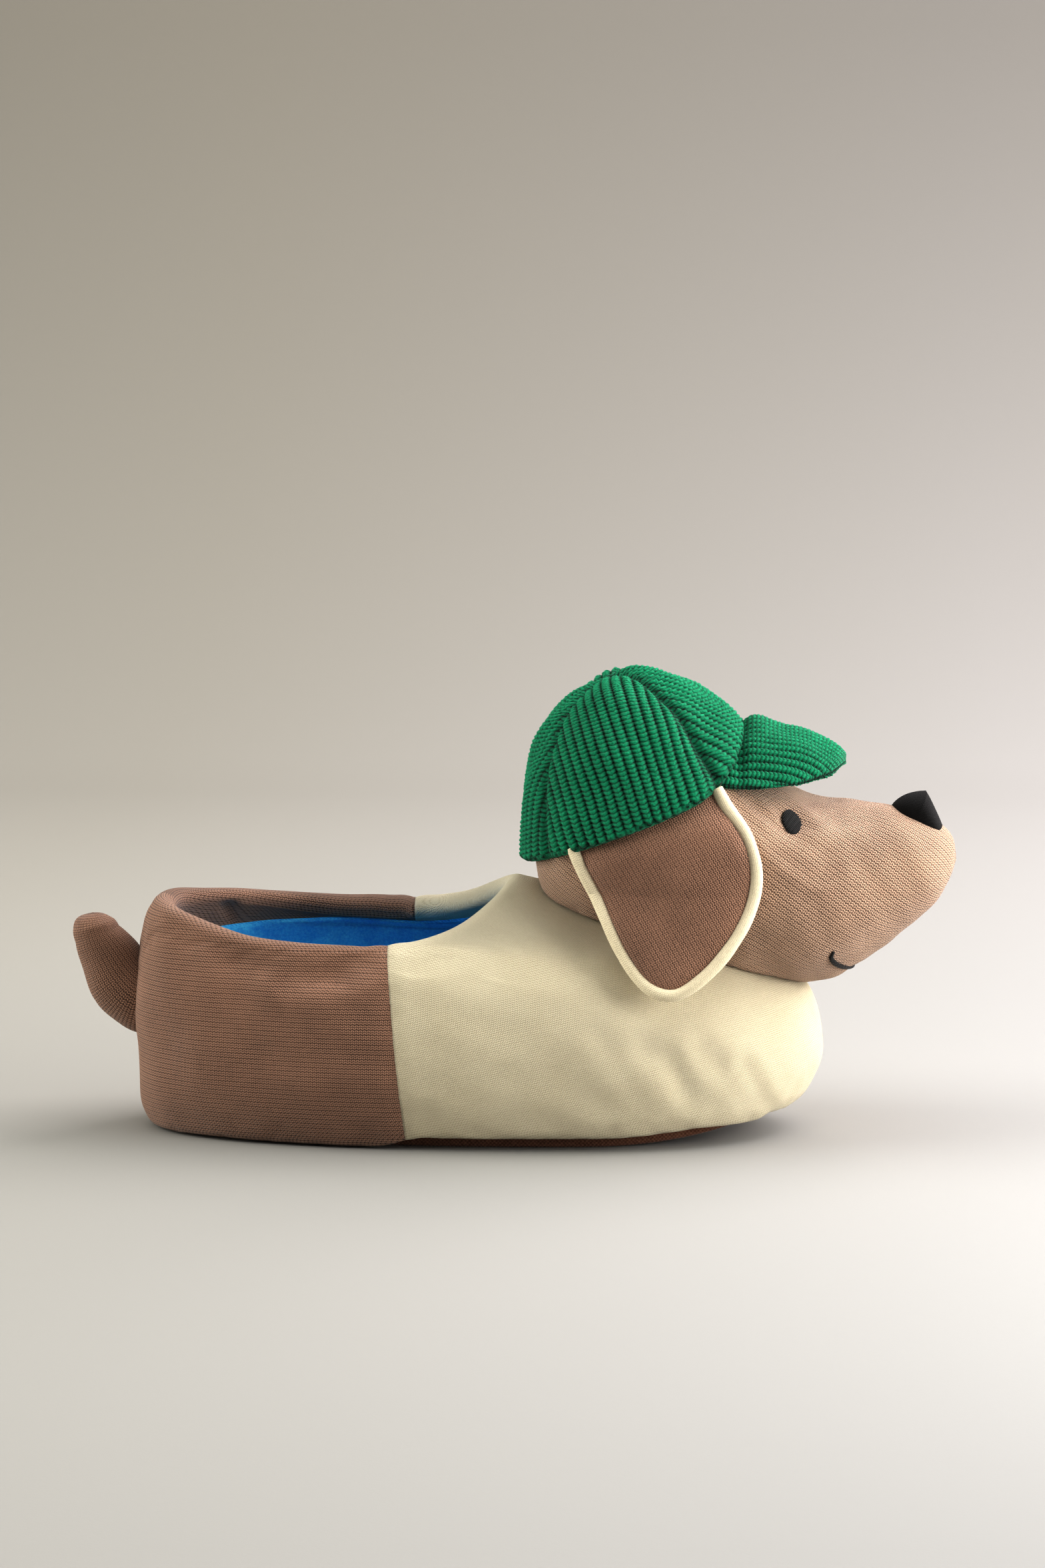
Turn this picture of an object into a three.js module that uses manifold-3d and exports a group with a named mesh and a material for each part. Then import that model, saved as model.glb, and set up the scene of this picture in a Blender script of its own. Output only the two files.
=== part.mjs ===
import * as THREE from 'three';
import { mergeVertices } from 'three/addons/utils/BufferGeometryUtils.js';
import Module from 'manifold-3d';

const wasm = await Module();
wasm.setup();

// A child's padded house slipper for the right foot. A stuffed dog's head with a knit cap sits on
// the toe and a stuffed tail on the heel. X runs to the toe, Y to the inner side of the foot, Z up.
// The origin is on the floor under the middle of the padded body. All lengths are millimetres.

// Padded body
const bodyLength = 200;
const bodyWidth = 88;
const heelHeight = 69;
const outerCollarHeight = 59;
const innerCollarHeight = 65;
const instepHeight = 72;
const throatReach = 12;
const collarWidth = 64;
const wallThickness = 7;
const lastCurve = 4;

// Sole and insole
const soleThickness = 4.5;
const soleEdgeRound = 1.2;
const seatWidth = 3;
const toeSpring = 7;
const springStart = 35;
const heelLip = 0.8;
const sideLip = 3.6;
const sideLipStart = -28;
const sideLipRun = 14;
const insoleThickness = 4.5;
const gap = 0.3;

// Stuffed head
const headLength = 122.8;
const headHeight = 88;
const headWidth = 72;
const headBack = 16;
const headSink = 28;

// Knit cap
const capThickness = 3;
const bandRise = 37.5;
const bandSlope = 21.2;
const bandArch = 14;
const visorLength = 33;
const visorWidth = 61;
const visorThickness = 6.5;
const visorDrop = 6.5;
const visorArch = 13.5;
const visorRise = 0.83 * headHeight;
const visorSlope = 1.5;

// Ears
const earLength = 56;
const earWidth = 56;
const earThickness = 5;
const earTipRise = 1.5;
const earFlare = 9;
const earHingeRise = 30;
const earClearance = 0.9;
const bindingWidth = 4.7;

// Face
const noseLength = 17.2;
const noseWidth = 21;
const noseHeight = 8.7;
const noseTilt = 24.8;
const eyeLength = 7.4;
const eyeWidth = 4;
const stitchHeight = 0.9;
const stitchWidth = 1.5;

// Tail
const tailLength = 36;
const tailWidth = 13;

const halfLength = bodyLength / 2;
const halfWidth = bodyWidth / 2;
const headRise = instepHeight - headSink;
const earTip = headRise + earTipRise;
const earHinge = headRise + earHingeRise;
const visorRoot = headRise + visorRise;
const columns = 44;

// Small helpers for numbers and tables

const radians = THREE.MathUtils.degToRad;

function smooth(from, to, value) {
  return THREE.MathUtils.smoothstep(value, from, to);
}

function power(value, exponent) {
  return Math.sign(value) * Math.abs(value) ** exponent;
}

// One column of a table at a fractional row, as a smooth curve through the rows.
function columnAt(table, key, t) {
  const last = table.length - 1;
  const i = Math.min(Math.floor(t), last - 1);
  const f = t - i;
  const at = (row) => table[Math.max(0, Math.min(last, row))][key];
  const [a, b, c, d] = [at(i - 1), at(i), at(i + 1), at(i + 2)];
  const bend = 2 * a - 5 * b + 4 * c - d + f * (3 * (b - c) + d - a);
  return b + 0.5 * f * (c - a + f * bend);
}

// Helpers that make and join solids

function volumeOf(points, faces) {
  let sum = 0;
  for (let i = 0; i < faces.length; i += 3) {
    const [a, b, c] = [points[faces[i]], points[faces[i + 1]], points[faces[i + 2]]];
    sum += a.dot(new THREE.Vector3().crossVectors(b, c));
  }
  return sum / 6;
}

function closedGeometry(points, faces) {
  const geometry = new THREE.BufferGeometry();
  const turned = volumeOf(points, faces) < 0 ? faces.slice().reverse() : faces;
  const numbers = points.flatMap((p) => p.toArray());
  geometry.setAttribute('position', new THREE.Float32BufferAttribute(numbers, 3));
  geometry.setIndex(turned);
  return geometry;
}

function ringFaces(rings, closed) {
  const count = rings[0].length;
  const faces = [];
  for (let r = 0; r < (closed ? rings.length : rings.length - 1); r += 1) {
    const [row, next] = [r * count, ((r + 1) % rings.length) * count];
    for (let i = 0; i < count; i += 1) {
      const j = (i + 1) % count;
      faces.push(row + i, row + j, next + j, row + i, next + j, next + i);
    }
  }
  return faces;
}

// A tube of rings whose last ring meets the first again.
function ringSolid(rings) {
  return closedGeometry(rings.flat(), ringFaces(rings, true));
}

// A loft closed by one point at each end.
function pointedSolid(first, rings, last) {
  const count = rings[0].length;
  const points = [...rings.flat(), first, last];
  const faces = ringFaces(rings, false);
  const [start, end, base] = [points.length - 2, points.length - 1, (rings.length - 1) * count];
  for (let i = 0; i < count; i += 1) {
    const j = (i + 1) % count;
    faces.push(start, j, i, end, base + i, base + j);
  }
  return closedGeometry(points, faces);
}

// A stack of foot-shaped rings. Each end is closed by strips that run across the foot.
function footSolid(rings) {
  const count = rings[0].length;
  const faces = ringFaces(rings, false);
  const base = (rings.length - 1) * count;
  for (let i = 0; i < count / 2; i += 1) {
    const [j, k, m] = [i + 1, (count - i) % count, count - i - 1];
    const low = i === 0 ? [0, m, j] : [i, k, m, i, m, j];
    const strip = i === count / 2 - 1 ? [i, k, j] : low;
    faces.push(...strip);
    faces.push(...strip.map((index) => base + index).reverse());
  }
  return closedGeometry(rings.flat(), faces);
}

function grown(geometry, distance) {
  const copy = geometry.clone();
  copy.computeVertexNormals();
  const { position, normal } = copy.attributes;
  for (let i = 0; i < position.count; i += 1) {
    const point = new THREE.Vector3().fromBufferAttribute(position, i);
    const outward = new THREE.Vector3().fromBufferAttribute(normal, i);
    point.addScaledVector(outward, distance);
    position.setXYZ(i, ...point.toArray());
  }
  copy.deleteAttribute('normal');
  return copy;
}

function toSolid(geometry) {
  const bare = geometry.clone();
  bare.deleteAttribute('normal');
  bare.deleteAttribute('uv');
  const merged = mergeVertices(bare, 1e-4);
  return new wasm.Manifold(new wasm.Mesh({
    numProp: 3,
    vertProperties: new Float32Array(merged.attributes.position.array),
    triVerts: new Uint32Array(merged.index.array),
  }));
}

function toGeometry(solid) {
  const mesh = solid.getMesh();
  const geometry = new THREE.BufferGeometry();
  const numbers = new Float32Array(mesh.vertProperties);
  geometry.setAttribute('position', new THREE.BufferAttribute(numbers, 3));
  geometry.setIndex(new THREE.BufferAttribute(new Uint32Array(mesh.triVerts), 1));
  return geometry;
}

// Padded body: hoops from the seam at the sole up to the collar.
// Lengths are shares of half the body's length and width, heights are shares of the collar heights.
// "back" and "front" are the hoop's ends, "side" its half width, "middle" where it is widest.
const hoops = [
  { back: -0.885, front: 0.845, side: 0.745, heel: 0.070, flank: 0.08, toe: 0.16, middle: 0.12 },
  { back: -0.945, front: 0.905, side: 0.850, heel: 0.020, flank: 0.05, toe: 0.12, middle: 0.13 },
  { back: -0.985, front: 0.955, side: 0.930, heel: 0.080, flank: 0.14, toe: 0.16, middle: 0.14 },
  { back: -1.005, front: 1.000, side: 0.995, heel: 0.250, flank: 0.34, toe: 0.31, middle: 0.14 },
  { back: -1.010, front: 0.990, side: 0.990, heel: 0.480, flank: 0.56, toe: 0.45, middle: 0.12 },
  { back: -1.003, front: 0.935, side: 0.930, heel: 0.680, flank: 0.75, toe: 0.62, middle: 0.05 },
  { back: -0.993, front: 0.770, side: 0.850, heel: 0.805, flank: 0.87, toe: 0.77, middle: -0.08 },
  { back: -0.978, front: 0.480, side: 0.775, heel: 0.895, flank: 0.93, toe: 0.91, middle: -0.22 },
  { back: -0.955, front: 0.000, side: 0.000, heel: 0.960, flank: 0.96, toe: 1.025, middle: -0.35 },
];
const rimRow = hoops.length - 1;
const roundness = 2.35;

// The collar has its own length and width, so the last hoop takes them from there.
hoops[rimRow].front = throatReach / halfLength;
hoops[rimRow].side = collarWidth / bodyWidth;

// The toe end swings a little to the inner side of the foot.
function curveAt(x) {
  return lastCurve * Math.max(0, (x + 0.2 * halfLength) / (1.2 * halfLength)) ** 2;
}

function soleBottom(x) {
  const reach = Math.max(0, x - springStart) / (0.86 * halfLength - springStart);
  return toeSpring * reach ** 2;
}

function soleTop(x) {
  return soleBottom(x) + soleThickness;
}

// The padding hangs over the edge of the sole: low at heel and toe, higher along the sides.
function lipHeight(x) {
  const rise = smooth(sideLipStart, sideLipStart + sideLipRun, x);
  const fall = smooth(0.62 * halfLength, 0.84 * halfLength, x);
  return soleBottom(x) + heelLip + (sideLip - heelLip) * rise * (1 - fall);
}

function footOutline(back, front, side, middle, angle) {
  const [c, s] = [Math.cos(angle), Math.sin(angle)];
  const reach = c > 0 ? front - middle : middle - back;
  const x = middle + reach * power(c, 2 / roundness);
  return new THREE.Vector2(x, side * power(s, 2 / roundness) + curveAt(x));
}

function hoopPoint(row, angle) {
  const at = (key) => columnAt(hoops, key, row);
  const [c, s] = [Math.cos(angle), Math.sin(angle)];
  const [back, front, middle] = ['back', 'front', 'middle'].map((key) => at(key) * halfLength);
  const plan = footOutline(back, front, at('side') * halfWidth, middle, angle);
  const flank = at('flank') * (s > 0 ? innerCollarHeight : outerCollarHeight);
  const end = c > 0 ? at('toe') * instepHeight : at('heel') * heelHeight;
  const height = flank + (end - flank) * Math.abs(c) ** 2.5;
  const seam = soleTop(plan.x) + gap;
  const lip = lipHeight(plan.x);
  const low = row < 1 ? seam + (lip - seam) * row : lip + (height - lip) * smooth(1, 2, row);
  return new THREE.Vector3(plan.x, plan.y, row < 2 ? low : height);
}

// Outward direction and the direction towards the collar at one place of the body's outer face.
function hoopFrame(row, angle) {
  const [da, dt] = [Math.PI / columns, 0.1];
  const [low, high] = [Math.max(0, row - dt), Math.min(rimRow, row + dt)];
  const around = hoopPoint(row, angle + da).sub(hoopPoint(row, angle - da));
  const upward = hoopPoint(high, angle).sub(hoopPoint(low, angle));
  const out = new THREE.Vector3().crossVectors(around, upward).normalize();
  return { out, up: new THREE.Vector3().crossVectors(out, around).normalize() };
}

function ringOf(pointAt) {
  return Array.from({ length: columns }, (_, i) => pointAt((i / columns) * 2 * Math.PI));
}

const outerRows = [0, 0.5, 1, 1.5, 2, 2.5, 3, 3.6, 4.2, 4.8, 5.4, 6, 6.5, 7, 7.4, 7.7, 8];

function outerRing(row) {
  return ringOf((angle) => hoopPoint(row, angle));
}

function innerRing(row) {
  return ringOf((angle) => {
    const { out } = hoopFrame(row, angle);
    return hoopPoint(row, angle).addScaledVector(out, -wallThickness);
  });
}

function rimRing(turn) {
  return ringOf((angle) => {
    const { out, up } = hoopFrame(rimRow, angle);
    const radius = wallThickness / 2;
    const centre = hoopPoint(rimRow, angle).addScaledVector(out, -radius);
    centre.addScaledVector(out, radius * Math.cos(turn));
    return centre.addScaledVector(up, radius * Math.sin(turn));
  });
}

// Outline at the sole seam, drawn in by a distance from the padding's seam line.
function seamOutline(inset, angle) {
  const [start] = hoops;
  return footOutline(
    start.back * halfLength + inset, start.front * halfLength - inset,
    start.side * halfWidth - inset, start.middle * halfLength, angle,
  );
}

function flatRing(inset, heightAt) {
  return ringOf((angle) => {
    const plan = seamOutline(inset, angle);
    return new THREE.Vector3(plan.x, plan.y, heightAt(plan.x));
  });
}

const seatRing = flatRing(seatWidth, (x) => soleTop(x) + gap);
const innerRows = outerRows.filter((row) => row >= 2).reverse();
const rimTurns = [1, 2, 3, 4].map((step) => (step / 5) * Math.PI);
const upper = ringSolid([
  ...outerRows.map(outerRing),
  ...rimTurns.map(rimRing),
  ...innerRows.map(innerRing),
  seatRing,
]);
const bodyForm = footSolid(outerRows.map(outerRing));
const bodyCut = toSolid(grown(bodyForm, gap));

// The sole's edge lies just inside the seam line, where the padding hangs over it.
const soleEdge = gap;
const outsole = footSolid([
  flatRing(soleEdge + soleEdgeRound, soleBottom),
  flatRing(soleEdge, (x) => soleBottom(x) + soleEdgeRound),
  flatRing(soleEdge, soleTop),
]);

const insoleEdge = seatWidth + gap;
const insole = footSolid([
  flatRing(insoleEdge, (x) => soleTop(x) + gap),
  flatRing(insoleEdge - 0.08 * insoleThickness, (x) => soleTop(x) + gap + 0.55 * insoleThickness),
  flatRing(insoleEdge + 0.14 * insoleThickness, (x) => soleTop(x) + gap + 0.88 * insoleThickness),
  flatRing(insoleEdge + 0.67 * insoleThickness, (x) => soleTop(x) + gap + insoleThickness),
]);

// Stuffed head: sections from the nape to the tip of the muzzle.
// "along" is a share of the head's length, "top" and "bottom" of its height, "side" of its half width.
const headSections = [
  { along: 0.000, top: 0.500, bottom: 0.500, side: 0.00 },
  { along: 0.012, top: 0.670, bottom: 0.330, side: 0.44 },
  { along: 0.045, top: 0.815, bottom: 0.240, side: 0.67 },
  { along: 0.115, top: 0.930, bottom: 0.180, side: 0.86 },
  { along: 0.215, top: 0.997, bottom: 0.120, side: 0.97 },
  { along: 0.325, top: 0.970, bottom: 0.060, side: 1.00 },
  { along: 0.425, top: 0.880, bottom: 0.025, side: 1.00 },
  { along: 0.520, top: 0.745, bottom: 0.005, side: 0.97 },
  { along: 0.650, top: 0.625, bottom: 0.000, side: 0.91 },
  { along: 0.750, top: 0.600, bottom: 0.050, side: 0.81 },
  { along: 0.850, top: 0.580, bottom: 0.145, side: 0.67 },
  { along: 0.930, top: 0.545, bottom: 0.235, side: 0.50 },
  { along: 0.983, top: 0.490, bottom: 0.325, side: 0.27 },
  { along: 1.000, top: 0.410, bottom: 0.410, side: 0.00 },
];
const headFullness = 2.2;
const lastHeadRow = headSections.length - 1;
const headRows = Array.from({ length: 2 * lastHeadRow - 1 }, (_, i) => (i + 1) / 2);

function headSection(row) {
  const at = (key) => columnAt(headSections, key, row);
  return {
    x: headBack + at('along') * headLength,
    top: headRise + at('top') * headHeight,
    bottom: headRise + at('bottom') * headHeight,
    side: (at('side') * headWidth) / 2,
  };
}

// A closed section across X: an oval of the given fullness with its own top, bottom and half width.
function ovalSection({ x, top, bottom, side }, fullness, count, shift = 0) {
  return Array.from({ length: count }, (_, i) => {
    const angle = (i / count) * 2 * Math.PI;
    const y = side * power(Math.cos(angle), 2 / fullness);
    const z = (top + bottom) / 2 + ((top - bottom) / 2) * power(Math.sin(angle), 2 / fullness);
    return new THREE.Vector3(x, y + shift, z);
  });
}

const headShift = curveAt(0.5 * halfLength);
const headForm = pointedSolid(
  new THREE.Vector3(headSection(0).x, headShift, headSection(0).top),
  headRows.map((row) => ovalSection(headSection(row), headFullness, 36, headShift)),
  new THREE.Vector3(headSection(lastHeadRow).x, headShift, headSection(lastHeadRow).top),
);
const headSolid = toSolid(headForm);
const headCut = toSolid(grown(headForm, gap));
const head = headSolid.subtract(bodyCut);

// The head's section at one place along it.
function headSectionAt(x) {
  let [low, high] = [0, headSections.length - 1];
  for (let step = 0; step < 20; step += 1) {
    const middle = (low + high) / 2;
    if (headSection(middle).x < x) {
      low = middle;
    } else {
      high = middle;
    }
  }
  return headSection(low);
}

// Half width of the head at one place of its side.
function headSide(x, z) {
  const { top, bottom, side } = headSectionAt(x);
  const rise = Math.min(1, Math.abs((2 * z - top - bottom) / (top - bottom)));
  return side * (1 - rise ** headFullness) ** (1 / headFullness);
}

// Cap: a shell over the head above a band line that rises to the front and arches over the brow.
const bandRun = Math.tan(radians(bandSlope));
const browX = headBack + 0.42 * headLength;

function bandAt(x, y) {
  const across = (y - headShift) / (headWidth / 2);
  const forward = smooth(browX - 0.12 * headLength, browX + 0.07 * headLength, x);
  const arch = bandArch * forward * Math.max(0, 1 - across ** 2);
  return headRise + bandRise + (x - headBack) * bandRun + arch;
}

// Everything below the band line, lowered by the given distance.
function belowBand(lower) {
  const [nx, ny] = [26, 16];
  const spanX = [headBack - 0.1 * headLength, headBack + 0.62 * headLength];
  const spanY = [headShift - 0.9 * headWidth, headShift + 0.9 * headWidth];
  const rings = [];
  for (let j = 0; j <= ny; j += 1) {
    const y = THREE.MathUtils.lerp(...spanY, j / ny);
    const topLine = Array.from({ length: nx + 1 }, (_, i) => {
      const x = THREE.MathUtils.lerp(...spanX, i / nx);
      return new THREE.Vector3(x, y, bandAt(x, y) - lower);
    });
    const [back, front] = spanX;
    const bottomLine = [front, back].map((x) => new THREE.Vector3(x, y, -wallThickness));
    rings.push([...topLine, ...bottomLine]);
  }
  const count = nx + 3;
  const faces = ringFaces(rings, false);
  const base = ny * count;
  for (let i = 0; i < nx; i += 1) {
    const corner = i < nx / 2 ? nx + 2 : nx + 1;
    faces.push(i + 1, i, corner, base + i, base + i + 1, base + corner);
  }
  const middle = nx / 2;
  faces.push(middle, nx + 2, nx + 1, base + middle, base + nx + 1, base + nx + 2);
  return toSolid(closedGeometry(rings.flat(), faces));
}

const capOuter = toSolid(grown(headForm, gap + capThickness));
const capCut = toSolid(grown(headForm, 2 * gap + capThickness));
const underBand = belowBand(0);
const frontLimit = headBack + 0.6 * headLength;
const capBox = new THREE.BoxGeometry(frontLimit, 2 * headWidth, 2 * headHeight)
  .translate(frontLimit / 2, headShift, headRise + headHeight);
const capBlock = toSolid(capBox);
const capCrown = capOuter.subtract(headCut).intersect(capBlock).subtract(underBand);

// Visor: a padded bill that arches across and droops to its round front edge.
const visorRows = [-0.35, -0.15, 0.05, 0.25, 0.42, 0.58, 0.72, 0.83, 0.91, 0.965];
const visorRootX = headBack + 0.47 * headLength;

function visorSection(share, count) {
  const width = (visorWidth / 2) * (1 - Math.max(0, share) ** 2.6) ** (1 / 2.1);
  const thick = visorThickness * (1 - Math.max(0, share) ** 6) ** 0.5;
  const x = visorRootX + share * visorLength;
  const centre = visorRoot - visorDrop * Math.max(0, share) ** 3 - visorSlope * share;
  const flat = { x, top: centre + thick / 2, bottom: centre - thick / 2, side: width };
  return ovalSection(flat, 2.3, count).map((p) => {
    const across = p.y / (visorWidth / 2);
    return new THREE.Vector3(p.x, p.y + headShift, p.z - visorArch * across ** 2);
  });
}

const visorTip = visorRoot - visorDrop - visorSlope;
const visorForm = pointedSolid(
  new THREE.Vector3(visorRootX - 0.36 * visorLength, headShift, visorRoot),
  visorRows.map((share) => visorSection(share, 26)),
  new THREE.Vector3(visorRootX + visorLength, headShift, visorTip),
);
const capVisor = toSolid(visorForm).subtract(capCut);

// Ears: flat padded flaps that lie on the head at the top and stand off the body at the tip.
// "along" is a share of the ear's width from its rear edge, "up" of its length from the tip.
const earOutline = [
  { along: -0.09, up: 0.86 },
  { along: -0.03, up: 0.68 },
  { along: 0.08, up: 0.46 },
  { along: 0.21, up: 0.20 },
  { along: 0.34, up: 0.04 },
  { along: 0.48, up: -0.01 },
  { along: 0.61, up: 0.04 },
  { along: 0.77, up: 0.19 },
  { along: 0.90, up: 0.40 },
  { along: 0.945, up: 0.60 },
  { along: 0.90, up: 0.80 },
  { along: 0.79, up: 0.97 },
  { along: 0.66, up: 1.15 },
  { along: 0.40, up: 1.20 },
  { along: 0.10, up: 1.08 },
];
const earRear = headBack + 0.11 * headLength;

function earSide(x, z) {
  const rest = headSide(x, Math.max(z, earHinge)) + earClearance + earThickness / 2;
  const start = earHinge + 0.14 * earLength;
  const hang = Math.max(0, (start - z) / (start - earTip));
  return rest + earFlare * hang ** 1.3;
}

const earPoints = earOutline.map(({ along, up }) => (
  new THREE.Vector3(earRear + along * earWidth, 0, earTip + up * earLength)
));
const earCurve = new THREE.CatmullRomCurve3(earPoints, true, 'centripetal');

// A point of the outline, moved inwards in the ear's own plane.
function earEdge(share, inset) {
  const point = earCurve.getPoint(share);
  const tangent = earCurve.getTangent(share);
  return point.add(new THREE.Vector3(-tangent.z, 0, tangent.x).multiplyScalar(inset));
}

const earCentre = new THREE.Vector3(earRear + 0.5 * earWidth, 0, earTip + 0.6 * earLength);
const earLevels = [
  { share: 1, thick: 0.3 },
  { share: 0.93, thick: 0.75 },
  { share: 0.75, thick: 1 },
  { share: 0.4, thick: 1 },
];

function earFlap(sign) {
  const count = 30;
  const level = ({ share, thick }, face) => Array.from({ length: count }, (_, i) => {
    const edge = earEdge(i / count, bindingWidth + gap);
    const p = earCentre.clone().lerp(edge, share);
    const y = earSide(p.x, p.z) + (face * thick * earThickness) / 2;
    return new THREE.Vector3(p.x, headShift + sign * y, p.z);
  });
  const pole = (face) => {
    const y = earSide(earCentre.x, earCentre.z) + (face * earThickness) / 2;
    return new THREE.Vector3(earCentre.x, headShift + sign * y, earCentre.z);
  };
  const rings = [
    ...earLevels.slice().reverse().map((row) => level(row, -1)),
    ...earLevels.map((row) => level(row, 1)),
  ];
  return pointedSolid(pole(-1), rings, pole(1));
}

// The binding runs round the free edge of the ear, from the band to the band.
function earBinding(sign) {
  const count = 30;
  const points = Array.from({ length: count }, (_, i) => {
    const p = earEdge((i / (count - 1)) * (12 / earOutline.length), bindingWidth / 2);
    return new THREE.Vector3(p.x, headShift + sign * earSide(p.x, p.z), p.z);
  });
  const rings = points.map((p, i) => {
    const [before, after] = [points[Math.max(0, i - 1)], points[Math.min(count - 1, i + 1)]];
    const tangent = after.clone().sub(before).normalize();
    const across = new THREE.Vector3(0, 1, 0).addScaledVector(tangent, -tangent.y).normalize();
    const side = new THREE.Vector3().crossVectors(tangent, across);
    return Array.from({ length: 8 }, (_, k) => {
      const turn = (k / 8) * 2 * Math.PI;
      return p.clone()
        .addScaledVector(across, (bindingWidth / 2) * Math.cos(turn))
        .addScaledVector(side, (bindingWidth / 2) * Math.sin(turn));
    });
  });
  return pointedSolid(points[0], rings, points[count - 1]);
}

const underCap = belowBand(gap);

function hung(geometry) {
  return toSolid(geometry).intersect(underCap).subtract(headCut).subtract(bodyCut);
}

// Nose: a padded wedge on the top front of the muzzle, with a ridge across it.
// "along" is a share of its length from the rear, "rise" of its height, "side" of its half width.
const noseSections = [
  { along: 0.02, rise: 0.22, side: 0.40 },
  { along: 0.08, rise: 0.45, side: 0.62 },
  { along: 0.17, rise: 0.66, side: 0.80 },
  { along: 0.29, rise: 0.85, side: 0.92 },
  { along: 0.42, rise: 1.00, side: 0.98 },
  { along: 0.56, rise: 0.80, side: 1.00 },
  { along: 0.72, rise: 0.54, side: 0.97 },
  { along: 0.86, rise: 0.30, side: 0.88 },
  { along: 0.95, rise: 0.13, side: 0.72 },
  { along: 1.00, rise: 0.02, side: 0.52 },
];
const noseSole = -0.4 * noseHeight;
const noseRings = noseSections.map(({ along, rise, side }) => {
  const [x, top, half] = [along * noseLength, rise * noseHeight, (side * noseWidth) / 2];
  return ovalSection({ x, top, bottom: noseSole, side: half }, headFullness, 22, 0);
});
const noseForm = pointedSolid(
  new THREE.Vector3(0, 0, noseSole / 2),
  noseRings,
  new THREE.Vector3(1.02 * noseLength, 0, noseSole / 2),
)
  .rotateY(radians(noseTilt))
  .translate(headBack + 0.845 * headLength, headShift, headRise + 0.575 * headHeight);
const nose = toSolid(noseForm).subtract(headCut);

// Stitched eyes and mouth: thin raised patches of the head's own surface.
const stitchSkin = toSolid(grown(headForm, gap + stitchHeight)).subtract(headCut);

const eyePlace = { x: headBack + 0.61 * headLength, z: headRise + 0.558 * headHeight };

function eye(sign) {
  const shape = new THREE.CylinderGeometry(0.5, 0.5, headWidth, 16)
    .scale(eyeWidth, 1, eyeLength)
    .rotateY(radians(-33))
    .translate(eyePlace.x, headShift + (sign * headWidth) / 2, eyePlace.z);
  return stitchSkin.intersect(toSolid(shape));
}

// Half of the mouth, from its middle to one end, where it climbs the cheek and hooks forward.
// "along" is a share of the head's length, "turn" the angle round the muzzle from its lowest point.
const mouthPlaces = [
  { along: 0.775, turn: 0 },
  { along: 0.773, turn: 11 },
  { along: 0.757, turn: 22 },
  { along: 0.730, turn: 34 },
  { along: 0.708, turn: 45 },
  { along: 0.702, turn: 51 },
  { along: 0.707, turn: 56 },
];
const mouthEnd = mouthPlaces.length - 1;

function mouthPoint(place) {
  const row = Math.abs(place);
  const x = headBack + columnAt(mouthPlaces, 'along', row) * headLength;
  const turn = radians(Math.sign(place) * columnAt(mouthPlaces, 'turn', row) - 90);
  const { top, bottom, side } = headSectionAt(x);
  const [y, rise] = [Math.cos(turn), Math.sin(turn)].map((share) => power(share, 2 / headFullness));
  const centre = new THREE.Vector3(x, headShift, (top + bottom) / 2);
  const point = new THREE.Vector3(x, headShift + side * y, centre.z + ((top - bottom) / 2) * rise);
  return { point, out: point.clone().sub(centre).normalize() };
}

// The line of stitches is cut out of the skin by an upright ribbon that follows the mouth.
function mouthRing(place) {
  const { point, out } = mouthPoint(place);
  const [before, after] = [place - 0.1, place + 0.1].map((at) => (
    mouthPoint(Math.max(-mouthEnd, Math.min(mouthEnd, at))).point
  ));
  const across = after.sub(before).cross(out).normalize();
  const half = (stitchWidth / 2) * (1 - 0.5 * (Math.abs(place) / mouthEnd) ** 4);
  const deep = 3 * stitchHeight;
  return [[-1, -1], [1, -1], [1, 1], [-1, 1]].map(([side, level]) => (
    point.clone().addScaledVector(across, side * half).addScaledVector(out, level * deep)
  ));
}

const mouthRings = Array.from({ length: 4 * mouthEnd + 1 }, (_, i) => mouthRing(i / 2 - mouthEnd));
const mouthForm = pointedSolid(mouthPoint(-mouthEnd).point, mouthRings, mouthPoint(mouthEnd).point);
const mouth = stitchSkin.intersect(toSolid(mouthForm));

// Tail: a stuffed stub that leaves the heel and turns up.
// "back" and "up" are shares of its length from its root, "thick" of its width.
const tailSections = [
  { back: -0.194, up: -0.078, thick: 1.77 },
  { back: 0.083, up: -0.064, thick: 1.77 },
  { back: 0.236, up: 0.061, thick: 1.58 },
  { back: 0.347, up: 0.242, thick: 1.35 },
  { back: 0.425, up: 0.394, thick: 1.12 },
  { back: 0.461, up: 0.506, thick: 0.81 },
  { back: 0.472, up: 0.590, thick: 0.40 },
];
const tailRoot = new THREE.Vector3(-0.97 * halfLength, 0, 0.59 * heelHeight);

function tailPoint(row) {
  const at = (key) => columnAt(tailSections, key, row);
  return new THREE.Vector3(tailRoot.x - at('back') * tailLength, 0, tailRoot.z + at('up') * tailLength);
}

function tailRing(row) {
  const centre = tailPoint(row);
  const along = tailPoint(Math.min(6, row + 0.1)).sub(tailPoint(Math.max(0, row - 0.1))).normalize();
  const across = new THREE.Vector3(0, 1, 0);
  const side = new THREE.Vector3().crossVectors(along, across);
  const thick = columnAt(tailSections, 'thick', row) * tailWidth;
  return Array.from({ length: 16 }, (_, i) => {
    const turn = (i / 16) * 2 * Math.PI;
    const level = Math.min(thick, tailWidth) / 2;
    return centre.clone()
      .addScaledVector(across, level * Math.cos(turn))
      .addScaledVector(side, (thick / 2) * Math.sin(turn));
  });
}

const tailForm = pointedSolid(
  tailPoint(0),
  [0, 0.5, 1, 1.5, 2, 2.5, 3, 3.5, 4, 4.5, 5, 5.5, 6].map(tailRing),
  tailPoint(6).add(new THREE.Vector3(0, 0, 0.04 * tailLength)),
);
const tail = toSolid(tailForm).subtract(bodyCut);

// The finished parts, each with the look of its own fabric

const slipper = new THREE.Group();

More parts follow.
